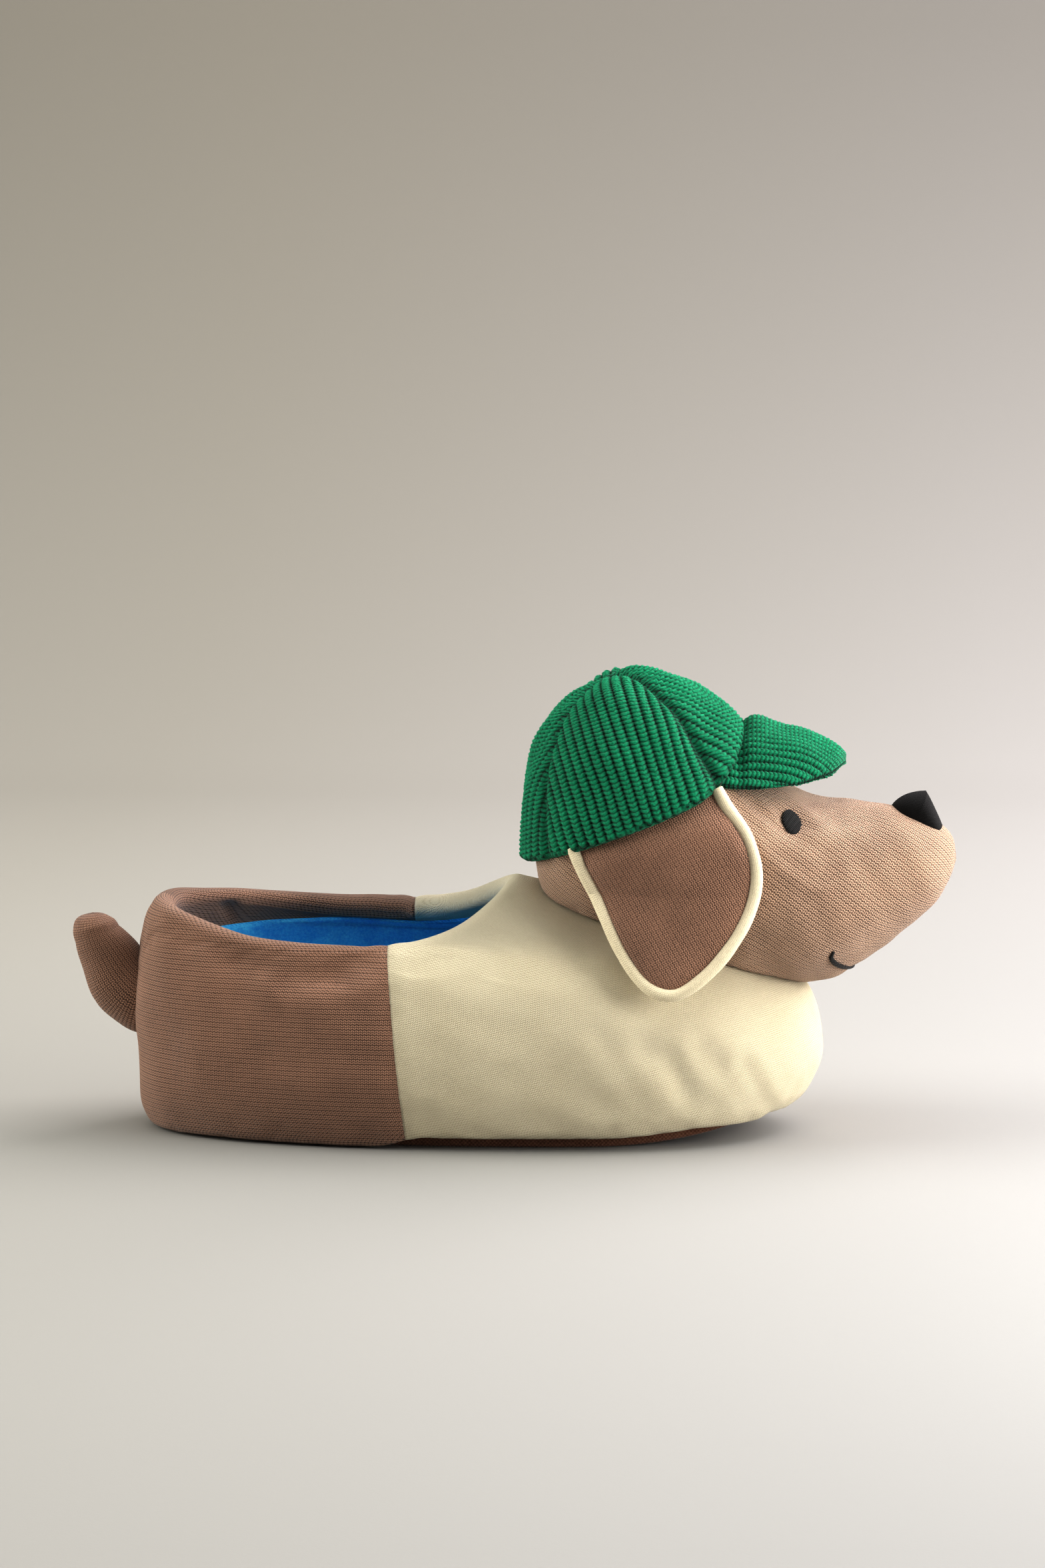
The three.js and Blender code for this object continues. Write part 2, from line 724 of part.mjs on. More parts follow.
function addPart(name, geometry, color, roughness = 0.95) {
  const material = new THREE.MeshStandardMaterial({ color, roughness, metalness: 0 });
  const mesh = new THREE.Mesh(geometry, material);
  mesh.name = name;
  slipper.add(mesh);
}

const fabric = {
  brownKnit: '#84644c',
  creamKnit: '#d7c6a7',
  soleCloth: '#9b755d',
  blueNap: '#103e6b',
  greenKnit: '#2f8c68',
  blackKnit: '#1b1917',
};

addPart('outsole', outsole, fabric.soleCloth);
addPart('insole', insole, fabric.blueNap);
addPart('upper', upper, fabric.brownKnit);
addPart('head', toGeometry(head), fabric.brownKnit);
addPart('cap_crown', toGeometry(capCrown), fabric.greenKnit);
addPart('cap_visor', toGeometry(capVisor), fabric.greenKnit);
addPart('ear_right', toGeometry(hung(earFlap(-1))), fabric.brownKnit);
addPart('ear_left', toGeometry(hung(earFlap(1))), fabric.brownKnit);
addPart('ear_binding_right', toGeometry(hung(earBinding(-1))), fabric.creamKnit);
addPart('ear_binding_left', toGeometry(hung(earBinding(1))), fabric.creamKnit);
addPart('nose', toGeometry(nose), fabric.blackKnit, 0.8);
addPart('eye_right', toGeometry(eye(-1)), fabric.blackKnit, 0.6);
addPart('eye_left', toGeometry(eye(1)), fabric.blackKnit, 0.6);
addPart('mouth', toGeometry(mouth), fabric.blackKnit, 0.6);
addPart('tail', toGeometry(tail), fabric.brownKnit);

export default slipper;
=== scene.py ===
import math
import bpy
import numpy as np
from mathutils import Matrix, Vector


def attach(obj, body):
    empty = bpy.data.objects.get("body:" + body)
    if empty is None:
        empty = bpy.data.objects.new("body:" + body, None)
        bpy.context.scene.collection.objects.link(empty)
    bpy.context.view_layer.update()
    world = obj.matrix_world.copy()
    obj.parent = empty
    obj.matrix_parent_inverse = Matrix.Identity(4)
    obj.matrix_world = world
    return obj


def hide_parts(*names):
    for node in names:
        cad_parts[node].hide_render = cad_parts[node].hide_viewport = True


# A child's padded slipper with a dog's head, seen from its outer side.
# Every shape is worked out in millimetres and goes into its mesh in metres.

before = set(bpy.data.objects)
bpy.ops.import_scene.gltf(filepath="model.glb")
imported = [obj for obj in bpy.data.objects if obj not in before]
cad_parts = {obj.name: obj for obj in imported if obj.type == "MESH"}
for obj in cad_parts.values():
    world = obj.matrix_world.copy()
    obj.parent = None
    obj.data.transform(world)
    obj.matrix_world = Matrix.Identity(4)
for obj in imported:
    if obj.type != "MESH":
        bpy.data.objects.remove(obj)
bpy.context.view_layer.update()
mm = 0.001
gap = 0.3

print("stage: camera, light and floor")

view = dict(azimuth=3.0, pitch=6.8, distance=1.1, target=(0.0127, 0.0, 0.101), lens=86.7, gamma=0.75)

scene = bpy.context.scene
azimuth, pitch = math.radians(view["azimuth"]), math.radians(view["pitch"])
towards = Vector((math.sin(azimuth) * math.cos(pitch), -math.cos(azimuth) * math.cos(pitch), math.sin(pitch)))
cameraData = bpy.data.cameras.new("camera")
cameraData.lens = view["lens"]
cameraData.sensor_width = 36
cameraData.clip_end = 20
camera = bpy.data.objects.new("camera", cameraData)
camera.location = Vector(view["target"]) + towards * view["distance"]
camera.rotation_euler = (-towards).to_track_quat("-Z", "Y").to_euler()
scene.collection.objects.link(camera)
scene.camera = camera
scene.view_settings.view_transform = "Standard"
scene.view_settings.look = "None"
scene.view_settings.gamma = view["gamma"]


def linear(red, green, blue):  # a colour given as 0-255 screen values, as the linear light that it stands for
    share = np.array([red, green, blue]) / 255
    light = np.where(share <= 0.04045, share / 12.92, ((share + 0.055) / 1.055) ** 2.4)
    return (*[float(v) for v in light], 1.0)


# The key light stands behind the toe end. Weaker ones light the face, the top and the heel.
objectMiddle = (0.04, 0, 0.07)
lights = dict(
    key=dict(place=(1.0, 0.6, 0.9), aim=objectMiddle, size=1.4, power=36, colour=(1.02, 0.97, 1.0)),
    front=dict(place=(1.2, -0.5, 0.45), aim=objectMiddle, size=0.9, power=8, colour=(1.0, 1.0, 0.98)),
    side=dict(place=(1.3, 0.05, 0.6), aim=objectMiddle, size=0.9, power=7, colour=(0.97, 1.0, 1.0)),
    near=dict(place=(0.46, -0.22, 0.16), aim=(0.12, -0.02, 0.075), size=0.2, power=1.3, colour=(1, 1, 1)),
    top=dict(place=(0.0, -0.1, 1.5), aim=objectMiddle, size=2.2, power=26, colour=(1.0, 1.0, 1.0)),
    heel=dict(place=(-1.3, -0.1, 0.5), aim=(0, 0, 0.07), size=0.9, power=21, colour=(1.0, 1.0, 0.96)),
)
worldLight = dict(colour=(1.0, 0.98, 0.95), strength=0.11)


def addLight(name, place, aim, size, power, colour):
    data = bpy.data.lights.new(name, "AREA")
    data.shape = "SQUARE"
    data.size = size
    data.energy = power
    data.color = colour
    lamp = bpy.data.objects.new(name, data)
    lamp.location = place
    lamp.rotation_euler = (Vector(aim) - Vector(place)).to_track_quat("-Z", "Y").to_euler()
    scene.collection.objects.link(lamp)


for lightName, settings in lights.items():
    addLight(lightName, **settings)
world = bpy.data.worlds.new("room")
scene.world = world
world.use_nodes = True
world.node_tree.nodes["Background"].inputs["Color"].default_value = (*worldLight["colour"], 1)
world.node_tree.nodes["Background"].inputs["Strength"].default_value = worldLight["strength"]


# Shared maths

def ease(low, high, value):  # 0 below low, 1 above high, with soft ends
    share = np.clip((value - low) / (high - low), 0, 1)
    return share * share * (3 - 2 * share)


def signedPower(value, exponent):
    return np.sign(value) * np.abs(value) ** exponent


def along(values, t):  # a smooth curve through a list of values, read at fractional places
    values = np.asarray(values, float)
    last = len(values) - 1
    i = np.clip(np.floor(t).astype(int), 0, last - 1)
    f = (t - i).reshape(t.shape + (1,) * (values.ndim - 1))
    a, b, c, d = (values[np.clip(i + k, 0, last)] for k in (-1, 0, 1, 2))
    return b + 0.5 * f * (c - a + f * (2 * a - 5 * b + 4 * c - d + f * (3 * (b - c) + d - a)))


def unit(vectors):
    return vectors / np.maximum(np.linalg.norm(vectors, axis=-1, keepdims=True), 1e-9)


def waves(points, size, seed, count=7):  # slow random swells: a sum of sines that run in different directions
    chance = np.random.default_rng(seed)
    directions = unit(chance.normal(size=(count, 3)))
    sizes = size * chance.uniform(0.7, 1.5, count)
    phases = chance.uniform(0, 2 * math.pi, count)
    return np.sin(points @ directions.T * (2 * math.pi / sizes) + phases).sum(-1) / math.sqrt(count)


def swells(points, layers):  # waves of several sizes together: each layer has a height, a size and a seed
    return sum(height * waves(points, *rest) for height, *rest in layers)


def nearLine(points, start, end):  # distance from each point to a straight line between two places
    start, end = np.array(start, float), np.array(end, float)
    run = end - start
    share = np.clip((points - start) @ run / (run @ run), 0, 1)
    return np.linalg.norm(points - start - share[..., None] * run, axis=-1)


def turns(count, start=0.0):  # angles once round, from the start, as one row
    return start + np.linspace(0, 2 * math.pi, count, endpoint=False)[None]


def closed(grid):  # the first column again at the end
    return np.concatenate([grid, grid[:, :1]], 1)


def pathLength(points, axis):  # the distance walked along one axis of a grid, from 0
    steps = np.cumsum(np.linalg.norm(np.diff(points, axis=axis), axis=-1), axis)
    return np.concatenate([np.zeros_like(steps.take([0], axis)), steps], axis)


def gridNormals(points, outward):
    # The cross product of the steps round and along a grid, on the side that outward points to.
    around = np.roll(points, -1, 1) - np.roll(points, 1, 1)
    normals = unit(np.cross(around, np.gradient(points, axis=0)))
    return normals * np.sign((normals * outward).sum(-1).mean())


def endMiddles(points):
    return [points[0].mean(0), points[-1].mean(0)]


def resample(points, places):  # each column of a grid, read at given distances along it
    length = pathLength(points, 0)
    index = np.clip((length[None] <= places[:, None]).sum(1) - 1, 0, len(points) - 2)
    columns = np.arange(points.shape[1])[None]
    low, high = length[index, columns], length[index + 1, columns]
    share = ((places - low) / np.maximum(high - low, 1e-9))[..., None]
    return points[index, columns] * (1 - share) + points[index + 1, columns] * share


def clothSizes(points, wrapRows):  # u runs round a piece and v along it, both in real millimetres
    ring = closed(points)
    u = pathLength(ring, 1)
    v = pathLength(np.concatenate([ring, ring[:1]], 0) if wrapRows else ring, 0)
    if wrapRows:
        u = np.concatenate([u, u[:1]], 0)
    return np.stack([u, v], -1)


def addPiece(name, points, materials, wrapRows=False, ends=None, cloth=None, traits=None, slots=None):
    # points is a grid of rows and closed rings. ends holds a point for each end, where the rings close.
    rows, columns = points.shape[:2]
    r = np.arange(rows if wrapRows else rows - 1)
    c = np.arange(columns)
    r, c = (grid.ravel() for grid in np.meshgrid(r, c, indexing="ij"))
    nextRow, nextColumn = (r + 1) % rows, (c + 1) % columns
    low, high = r * columns, nextRow * columns
    quads = np.stack([low + c, low + nextColumn, high + nextColumn, high + c], 1)
    cloth = clothSizes(points, wrapRows) if cloth is None else cloth
    quadCloth = np.stack([cloth[r, c], cloth[r, c + 1], cloth[r + 1, c + 1], cloth[r + 1, c]], 1)
    allPoints = points.reshape(-1, 3)
    faces = [quads]
    faceCloth = [quadCloth.reshape(-1, 2)]
    rowOfFace = [r]
    fans = []
    if ends is not None:
        allPoints = np.vstack([allPoints, ends])
        k = np.arange(columns)
        n = (k + 1) % columns
        for row, centre, order in ((0, rows * columns, (1, 0)), (rows - 1, rows * columns + 1, (0, 1))):
            pair = (row * columns + k, row * columns + n)
            fans.append(np.stack([np.full(columns, centre), pair[order[0]], pair[order[1]]], 1))
            edge = (cloth[row, k], cloth[row, k + 1])
            middle = np.broadcast_to(cloth[row, :-1].mean(0), (columns, 2))
            faceCloth.append(np.stack([middle, edge[order[0]], edge[order[1]]], 1).reshape(-1, 2))
            rowOfFace.append(np.full(columns, row))
    quadCorners = quads.ravel()
    fanCorners = np.concatenate([f.ravel() for f in fans]) if fans else np.zeros(0, int)
    corners = np.concatenate([quadCorners, fanCorners])
    sizes = np.concatenate([np.full(len(quads), 4), np.full(sum(len(f) for f in fans), 3)])
    starts = np.concatenate([[0], np.cumsum(sizes)[:-1]])
    tri = np.concatenate([quads[:, [0, 1, 2]], quads[:, [0, 2, 3]], *fans])
    a, b, d = (allPoints[tri[:, i]] for i in range(3))
    inward = np.einsum("ij,ij->", a, np.cross(b, d)) < 0
    mesh = bpy.data.meshes.new(name)
    mesh.vertices.add(len(allPoints))
    mesh.vertices.foreach_set("co", (allPoints * mm).astype(np.float32).ravel())
    mesh.loops.add(len(corners))
    mesh.loops.foreach_set("vertex_index", corners.astype(np.int32))
    mesh.polygons.add(len(sizes))
    mesh.polygons.foreach_set("loop_start", starts.astype(np.int32))
    if slots is not None:
        mesh.polygons.foreach_set("material_index", slots[np.concatenate(rowOfFace)].astype(np.int32))
    layer = mesh.uv_layers.new(name="cloth")
    layer.data.foreach_set("uv", np.concatenate(faceCloth).astype(np.float32).ravel())
    mesh.update(calc_edges=True)
    mesh.polygons.foreach_set("use_smooth", np.ones(len(sizes), bool))
    for key, values in (traits or {}).items():
        attribute = mesh.attributes.new(key, "FLOAT", "POINT")
        flat = np.concatenate([values.ravel(), np.zeros(len(allPoints) - values.size)])
        if ends is not None:
            flat[-2:] = values[0].mean(), values[-1].mean()
        attribute.data.foreach_set("value", flat.astype(np.float32))
    if inward:
        mesh.flip_normals()
    for material in materials:
        mesh.materials.append(material)
    mesh.validate()
    piece = bpy.data.objects.new(name, mesh)
    scene.collection.objects.link(piece)
    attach(piece, "root")
    return piece


# Stuffing: a coarse copy of a piece is blown up as cloth that is slightly too big for it.

stuffing = dict(frames=20, quality=6, mass=0.15, stiffness=15, bending=0.5, pressure=4)


def billow(points, pins, growth, limit):
    # How far each place of a closed grid moves when the cloth fills out. Nothing moves where pins is 1,
    # and no place moves further than the limit, which it nears softly.
    rows, columns = points.shape[:2]
    index = np.arange(rows * columns).reshape(rows, columns)
    beside = np.roll(index, -1, 1)
    quads = np.stack([index[:-1], beside[:-1], beside[1:], index[1:]], -1).reshape(-1, 4)
    mesh = bpy.data.meshes.new("stuffing")
    mesh.from_pydata((points.reshape(-1, 3) * mm).tolist(), [], quads.tolist())
    cover = bpy.data.objects.new("stuffing", mesh)
    scene.collection.objects.link(cover)
    group = cover.vertex_groups.new(name="pins")
    levels = pins.ravel().round(1)
    for level in np.unique(levels[levels > 0]):
        group.add(np.nonzero(levels == level)[0].tolist(), float(level), "REPLACE")
    modifier = cover.modifiers.new("cloth", "CLOTH")
    cloth = modifier.settings
    cloth.quality = stuffing["quality"]
    cloth.mass = stuffing["mass"]
    cloth.tension_stiffness = cloth.compression_stiffness = stuffing["stiffness"]
    cloth.shear_stiffness = stuffing["stiffness"] / 2
    cloth.bending_stiffness = stuffing["bending"]
    cloth.vertex_group_mass = "pins"
    cloth.use_pressure = True
    cloth.uniform_pressure_force = stuffing["pressure"]
    cloth.shrink_min = -growth
    cloth.effector_weights.gravity = 0
    modifier.point_cache.frame_start = 1
    modifier.point_cache.frame_end = stuffing["frames"]
    for frameNumber in range(1, stuffing["frames"] + 1):
        scene.frame_set(frameNumber)
    settled = cover.evaluated_get(bpy.context.evaluated_depsgraph_get()).to_mesh()
    places = np.empty(rows * columns * 3, np.float32)
    settled.vertices.foreach_get("co", places)
    bpy.data.objects.remove(cover)
    bpy.data.meshes.remove(mesh)
    scene.frame_set(1)
    moved = places.reshape(rows, columns, 3).astype(float) / mm - points
    far = np.maximum(np.linalg.norm(moved, axis=-1, keepdims=True), 1e-6)
    moved *= limit * np.tanh(far / limit) / far
    print("stuffed: moved", round(float(far.mean()), 2), "mm on average")
    return moved


def finer(coarse, rowPlaces, count):  # a coarse grid, read at fractional rows and in more columns
    rows = along(coarse, rowPlaces)
    ring = np.concatenate([rows[:, -2:], rows, rows[:, :3]], 1)
    places = np.arange(count) * coarse.shape[1] / count + 2
    return along(ring.swapaxes(0, 1), places).swapaxes(0, 1)


# Materials. Each one is built from small steps on the piece's own cloth sizes, in millimetres.

class Field:  # a number that varies over a surface. Sums and products of it become nodes of its material.
    def __init__(self, cloth, socket):
        self.cloth = cloth
        self.socket = socket

    def calc(self, operation, *others):
        return self.cloth.calc(operation, self, *others)

    def __add__(self, other):
        return self.calc("ADD", other)

    def __sub__(self, other):
        return self.calc("SUBTRACT", other)

    def __rsub__(self, other):
        return self.cloth.calc("SUBTRACT", other, self)

    def __mul__(self, other):
        return self.calc("MULTIPLY", other)

    def __truediv__(self, other):
        return self.calc("DIVIDE", other)

    def __pow__(self, exponent):
        return self.calc("POWER", exponent)

    def __abs__(self):
        return self.calc("ABSOLUTE")

    def sine(self):
        return self.calc("SINE")

    def fraction(self):
        return self.calc("FRACT")


class Cloth:
    def __init__(self, name, roughness, sheen, specular=0.3):
        self.material = bpy.data.materials.new(name)
        self.material.use_nodes = True
        self.tree = self.material.node_tree
        self.shader = self.tree.nodes["Principled BSDF"]
        self.shader.inputs["Roughness"].default_value = roughness
        self.shader.inputs["Sheen Weight"].default_value = sheen
        self.shader.inputs["Sheen Roughness"].default_value = 0.45
        self.shader.inputs["Specular IOR Level"].default_value = specular
        place = self.add("ShaderNodeTexCoord")
        self.object = place.outputs["Object"]
        self.u, self.v, _ = self.parts(place.outputs["UV"])

    def connect(self, value, socket):  # a link where the value varies over the surface
        value = value.socket if isinstance(value, Field) else value
        if isinstance(value, bpy.types.NodeSocket):
            self.tree.links.new(value, socket)
        elif value is not None:
            socket.default_value = value

    def add(self, kind, inputs=(), **settings):
        node = self.tree.nodes.new(kind)
        for key, value in settings.items():
            setattr(node, key, value)
        for socket, value in zip(node.inputs, inputs):
            self.connect(value, socket)
        return node

    def calc(self, operation, *values):
        return Field(self, self.add("ShaderNodeMath", inputs=values, operation=operation).outputs[0])

    def parts(self, vector):
        split = self.add("ShaderNodeSeparateXYZ", inputs=[vector])
        return [Field(self, output) for output in split.outputs]

    def trait(self, name):
        return Field(self, self.add("ShaderNodeAttribute", attribute_name=name).outputs["Fac"])

    def noise(self, size, detail=3.0, roughness=0.6):  # size is the width of one blot, in millimetres
        node = self.add("ShaderNodeTexNoise")
        self.tree.links.new(self.object, node.inputs["Vector"])
        node.inputs["Scale"].default_value = 1 / (size * mm)
        node.inputs["Detail"].default_value = detail
        node.inputs["Roughness"].default_value = roughness
        return Field(self, node.outputs["Fac"])

    def ramp(self, value, stops):
        node = self.add("ShaderNodeValToRGB", inputs=[value])
        points = node.color_ramp.elements
        while len(points) < len(stops):
            points.new(0.5)
        for point, (place, colour) in zip(points, stops):
            point.position = place
            point.color = colour
        return node.outputs["Color"]

    def mix(self, share, first, second):
        node = self.add("ShaderNodeMix", data_type="RGBA")
        for name, value in (("Factor_Float", share), ("A_Color", first), ("B_Color", second)):
            self.connect(value, next(s for s in node.inputs if s.identifier == name))
        return next(s for s in node.outputs if s.identifier == "Result_Color")

    def turned(self, degrees):  # the cloth sizes, turned in the plane of the cloth
        c, s = math.cos(math.radians(degrees)), math.sin(math.radians(degrees))
        return self.u * c - self.v * s, self.u * s + self.v * c

    def stitches(self, u, v, wale, course, slant, rows):
        # Two slanting legs of yarn make each V: round across the leg, and lower where the legs meet.
        # Every second row lies a little deeper.
        leg = abs((u / wale).fraction() - 0.5) * 2
        place = v / course + leg * slant
        back = (place.fraction() * math.pi).sine() ** 0.8
        waist = (leg * math.pi).sine() * 0.6 + 0.4
        level = 1.0 - place.calc("PINGPONG", 1.0) * rows
        return back * waist * level

    def finish(self, colour, height, depth):  # depth is the relief in millimetres
        self.tree.links.new(colour, self.shader.inputs["Base Color"])
        bump = self.add("ShaderNodeBump")
        bump.inputs["Strength"].default_value = 1.0
        bump.inputs["Distance"].default_value = depth * mm
        self.connect(height, bump.inputs["Height"])
        self.tree.links.new(bump.outputs["Normal"], self.shader.inputs["Normal"])
        return self.material


# Light and dark stops of each cloth's colour. In the knits the dark stops paint shade into the gaps, valleys
# and deeper rows.
shades = dict(
    brownLight=linear(181, 142, 118), brownDark=linear(40, 23, 15),
    headLight=linear(218, 184, 158), headDark=linear(62, 43, 33),
    # The binding's light stop is lighter than the body's cream, to carry painted light falling on it.
    bindingLitCream=linear(242, 231, 203), creamLight=linear(222, 213, 188), creamDark=linear(184, 169, 137),
    greenLight=linear(34, 190, 138), greenDark=linear(0, 22, 10),
    blueLight=linear(110, 222, 255), blueDark=linear(44, 156, 230),
    blackLight=linear(22, 19, 18), blackDark=linear(3, 2, 2),
    soleLight=linear(142, 102, 80), soleDark=linear(96, 62, 46),
)
# Stitch sizes in millimetres. rows is how much deeper every second row lies, and so how much darker it is
# painted as shade.
knit = dict(wale=1.165, course=0.70, slant=0.5, rows=0.42)
headKnitSizes = dict(wale=1.3, course=0.80, slant=0.5, rows=0.45)
creamKnitSizes = dict(wale=1.0, course=0.62, slant=0.5, rows=0.1)
blackKnitSizes = dict(wale=0.8, course=0.5, slant=0.5, rows=0.1)


def yarn(cloth, loops, light, dark, contrast):
    # Loops are light on top, and painted shade darkens the gaps and the lower loops. Flecks and wide blots
    # keep the colour from being even.
    flecks = cloth.noise(0.45, detail=2)
    blots = cloth.noise(16, detail=2)
    tone = loops * contrast + flecks * (1 - contrast) + (blots - 0.5) * 0.22
    return cloth.ramp(tone, [(0.08, dark), (0.66, light)]), loops + flecks * 0.35


def plainKnit(name, light, dark, sizes, turn, contrast, depth, sheen=0.25):
    cloth = Cloth(name, roughness=0.9, sheen=sheen)
    loops = cloth.stitches(*cloth.turned(turn), **sizes)
    return cloth.finish(*yarn(cloth, loops, light, dark, contrast), depth)


def bodyKnit():  # brown at the heel and cream at the toe, with the join drawn in along the side seam
    cloth = Cloth("body knit", roughness=0.9, sheen=0.25)
    place = cloth.trait("seam") + (cloth.noise(1.2) - 0.5) * 0.5
    isCream = place.calc("GREATER_THAN", 0.0)
    brownLoops = cloth.stitches(cloth.u, cloth.v, **knit)
    creamLoops = cloth.stitches(*cloth.turned(-12), **creamKnitSizes)
    brown, brownHeight = yarn(cloth, brownLoops, shades["brownLight"], shades["brownDark"], 0.8)
    cream, creamHeight = yarn(cloth, creamLoops, shades["creamLight"], shades["creamDark"], 0.7)
    # Painted shade: the seam groove is darkened with the brown gap colour.
    seamWidth, seamShade, seamDepth = 0.6, 0.15, 1.6
    groove = abs(place) / seamWidth
    groove = 1.0 - groove.calc("MINIMUM", 1.0)
    colour = cloth.mix(groove * seamShade, cloth.mix(isCream, brown, cream), shades["brownDark"])
    creamHeight = creamHeight * 0.5
    height = cloth.add("ShaderNodeMix", inputs=[isCream, None, brownHeight, creamHeight]).outputs[0]
    return cloth.finish(colour, Field(cloth, height) - groove * seamDepth, 0.3)


def brushed(name, light, dark, size, depth):  # napped cloth: short fibres in soft clumps
    cloth = Cloth(name, roughness=0.95, sheen=0.35)
    fibres = cloth.noise(size, detail=5, roughness=0.75)
    clumps = cloth.noise(size * 9, detail=2)
    ribs = (cloth.u * (2 * math.pi / 1.1)).sine()
    tone = fibres + (clumps - 0.5) * 0.5 + ribs * 0.05
    return cloth.finish(cloth.ramp(tone, [(0.25, dark), (0.72, light)]), fibres + ribs * 0.1, depth)


def ribKnit(name, rib, stitch):  # the relief is in the mesh too: here come the yarn's own loops and fuzz
    cloth = Cloth(name, roughness=0.96, sheen=0.15, specular=0.1)
    edge = abs((cloth.u / rib + 0.5).fraction() - 0.5) * 2.0
    place = cloth.v / stitch + edge * 0.5
    loop = abs((place * math.pi).calc("COSINE")) ** 0.7
    split = abs((edge * math.pi).sine()) ** 0.5
    fuzz = cloth.noise(0.5, detail=5, roughness=0.7)
    patches = cloth.noise(9, detail=2)
    knots = loop * (split * 0.35 + 0.65)
    # Painted shade: the valleys between ribs, the seam grooves and the gaps between loops come out darker.
    tone = cloth.trait("ridge") * 0.42 + knots * 0.4 + (fuzz - 0.5) * 0.7 + (patches - 0.5) * 0.2
    colour = cloth.ramp(tone, [(0.2, shades["greenDark"]), (0.92, shades["greenLight"])])
    return cloth.finish(colour, knots + fuzz * 2.2, 0.4)


def satinStitch(name, turn):  # rows of thread laid side by side
    cloth = Cloth(name, roughness=0.6, sheen=0.1, specular=0.4)
    threadWidth = 0.42
    # Painted shade darkens the grooves between the threads.
    thread = abs((cloth.turned(turn)[1] * (math.pi / threadWidth)).sine()) + cloth.noise(0.5) * 0.6
    colour = cloth.ramp(thread, [(0.1, shades["blackDark"]), (1.2, shades["blackLight"])])
    return cloth.finish(colour, thread, 0.25)


print("stage: floor")

# The paper's colour carries painted light: lighter near the camera and to the right, and darker up the wall.
# Its sizes are in metres.
stageLitColours = dict(
    nearLeft=linear(155, 153, 146), nearRight=linear(165, 164, 162),
    farLeft=linear(157, 154, 146), farRight=linear(162, 160, 157),
    wallLeft=linear(143, 139, 130), wallRight=linear(140, 137, 132),
)
floorSize = dict(front=-2.2, back=1.4, side=2.6, rise=1.9, bend=0.6)


def addFloor():
    # A flat floor that bends up into the wall behind: the profile is a line, a quarter circle and a line.
    turn = np.linspace(0, math.pi / 2, 24)
    back, bend = floorSize["back"], floorSize["bend"]
    y = np.concatenate([[floorSize["front"]], back - bend + bend * np.sin(turn), [back]])
    z = np.concatenate([[0], bend * (1 - np.cos(turn)), [floorSize["rise"]]])
    x = np.linspace(-floorSize["side"], floorSize["side"], 9)
    grid = np.stack(np.broadcast_arrays(x[:, None], y[None], z[None]), -1)
    across, deep = grid.shape[:2]
    index = np.arange(across * deep).reshape(across, deep)
    faces = np.stack([index[:-1, :-1], index[1:, :-1], index[1:, 1:], index[:-1, 1:]], -1).reshape(-1, 4)
    mesh = bpy.data.meshes.new("floor")
    mesh.from_pydata(grid.reshape(-1, 3).tolist(), [], faces.tolist())
    mesh.polygons.foreach_set("use_smooth", np.ones(len(faces), bool))
    cloth = Cloth("paper backdrop", roughness=0.9, sheen=0.0, specular=0.1)
    x, y, z = cloth.parts(cloth.object)
    # Painted light: the paper is darker to the left and lighter to the right.
    side = x * 2.2 + 0.5 + (cloth.noise(1.4, detail=2) - 0.5) * 0.05
    near, far, wall = (
        cloth.ramp(side, [(0.0, stageLitColours[place + "Left"]), (1.0, stageLitColours[place + "Right"])])
        for place in ("near", "far", "wall"))
    # Painted light: the colour falls off from near to far, and again up the wall.
    away = (y + z) * 0.5
    black, white = (0, 0, 0, 1), (1, 1, 1, 1)
    colour = cloth.mix(cloth.ramp(away, [(0.03, black), (0.42, white)]), near, far)
    colour = cloth.mix(cloth.ramp(away, [(0.45, black), (0.9, white)]), colour, wall)
    mesh.materials.append(cloth.finish(colour, cloth.noise(1.0), 0.02))
    floor = bpy.data.objects.new("floor", mesh)
    scene.collection.objects.link(floor)


addFloor()


print("stage: padded body")

# The hoops run from the seam at the sole to the collar. Lengths are shares of half the body's
# length and width, heights are shares of the heel, flank and instep heights.
body = dict(
    length=200, width=88, heelHeight=69, outerCollar=59, innerCollar=65, instep=72,
    wall=7, swing=4, roundness=2.35,
    back=[-0.885, -0.945, -0.985, -1.005, -1.010, -1.003, -0.993, -0.978, -0.955],
    front=[0.845, 0.905, 0.955, 1.000, 0.990, 0.935, 0.770, 0.480, 0.120],
    side=[0.745, 0.850, 0.930, 0.995, 0.990, 0.930, 0.850, 0.775, 0.727],
    heel=[0.070, 0.020, 0.080, 0.250, 0.480, 0.680, 0.805, 0.895, 0.960],
    flank=[0.08, 0.05, 0.14, 0.34, 0.56, 0.75, 0.87, 0.93, 0.96],
    toe=[0.16, 0.12, 0.16, 0.31, 0.45, 0.62, 0.77, 0.91, 1.025],
    middle=[0.12, 0.13, 0.14, 0.14, 0.12, 0.05, -0.08, -0.22, -0.35],
    growth=0.0035, limit=0.8, bandDepth=8.0, liningStep=0.8, seamTop=-24.5, seamBottom=-18.5, innerSeam=-21.0,
    heelCrease=dict(start=(-79, 20, 69), end=(-74, 18, 57), width=2.2, depth=1.8),
    swells=[(0.3, 34, 3), (0.15, 13, 4)], liningSwells=[(0.5, 20, 6)], rimSwells=[(0.06, 22, 5)],
)
sole = dict(
    thickness=4.5, edge=1.2, seat=3, spring=7, springStart=35,
    heelLip=0.8, sideLip=3.6, lipStart=-28, lipRun=14,
)
halfLength, halfWidth = body["length"] / 2, body["width"] / 2
rimRow = len(body["back"]) - 1


def swing(x):  # the toe end leans to the inner side of the foot
    return body["swing"] * np.maximum(0, (x + 0.2 * halfLength) / (1.2 * halfLength)) ** 2


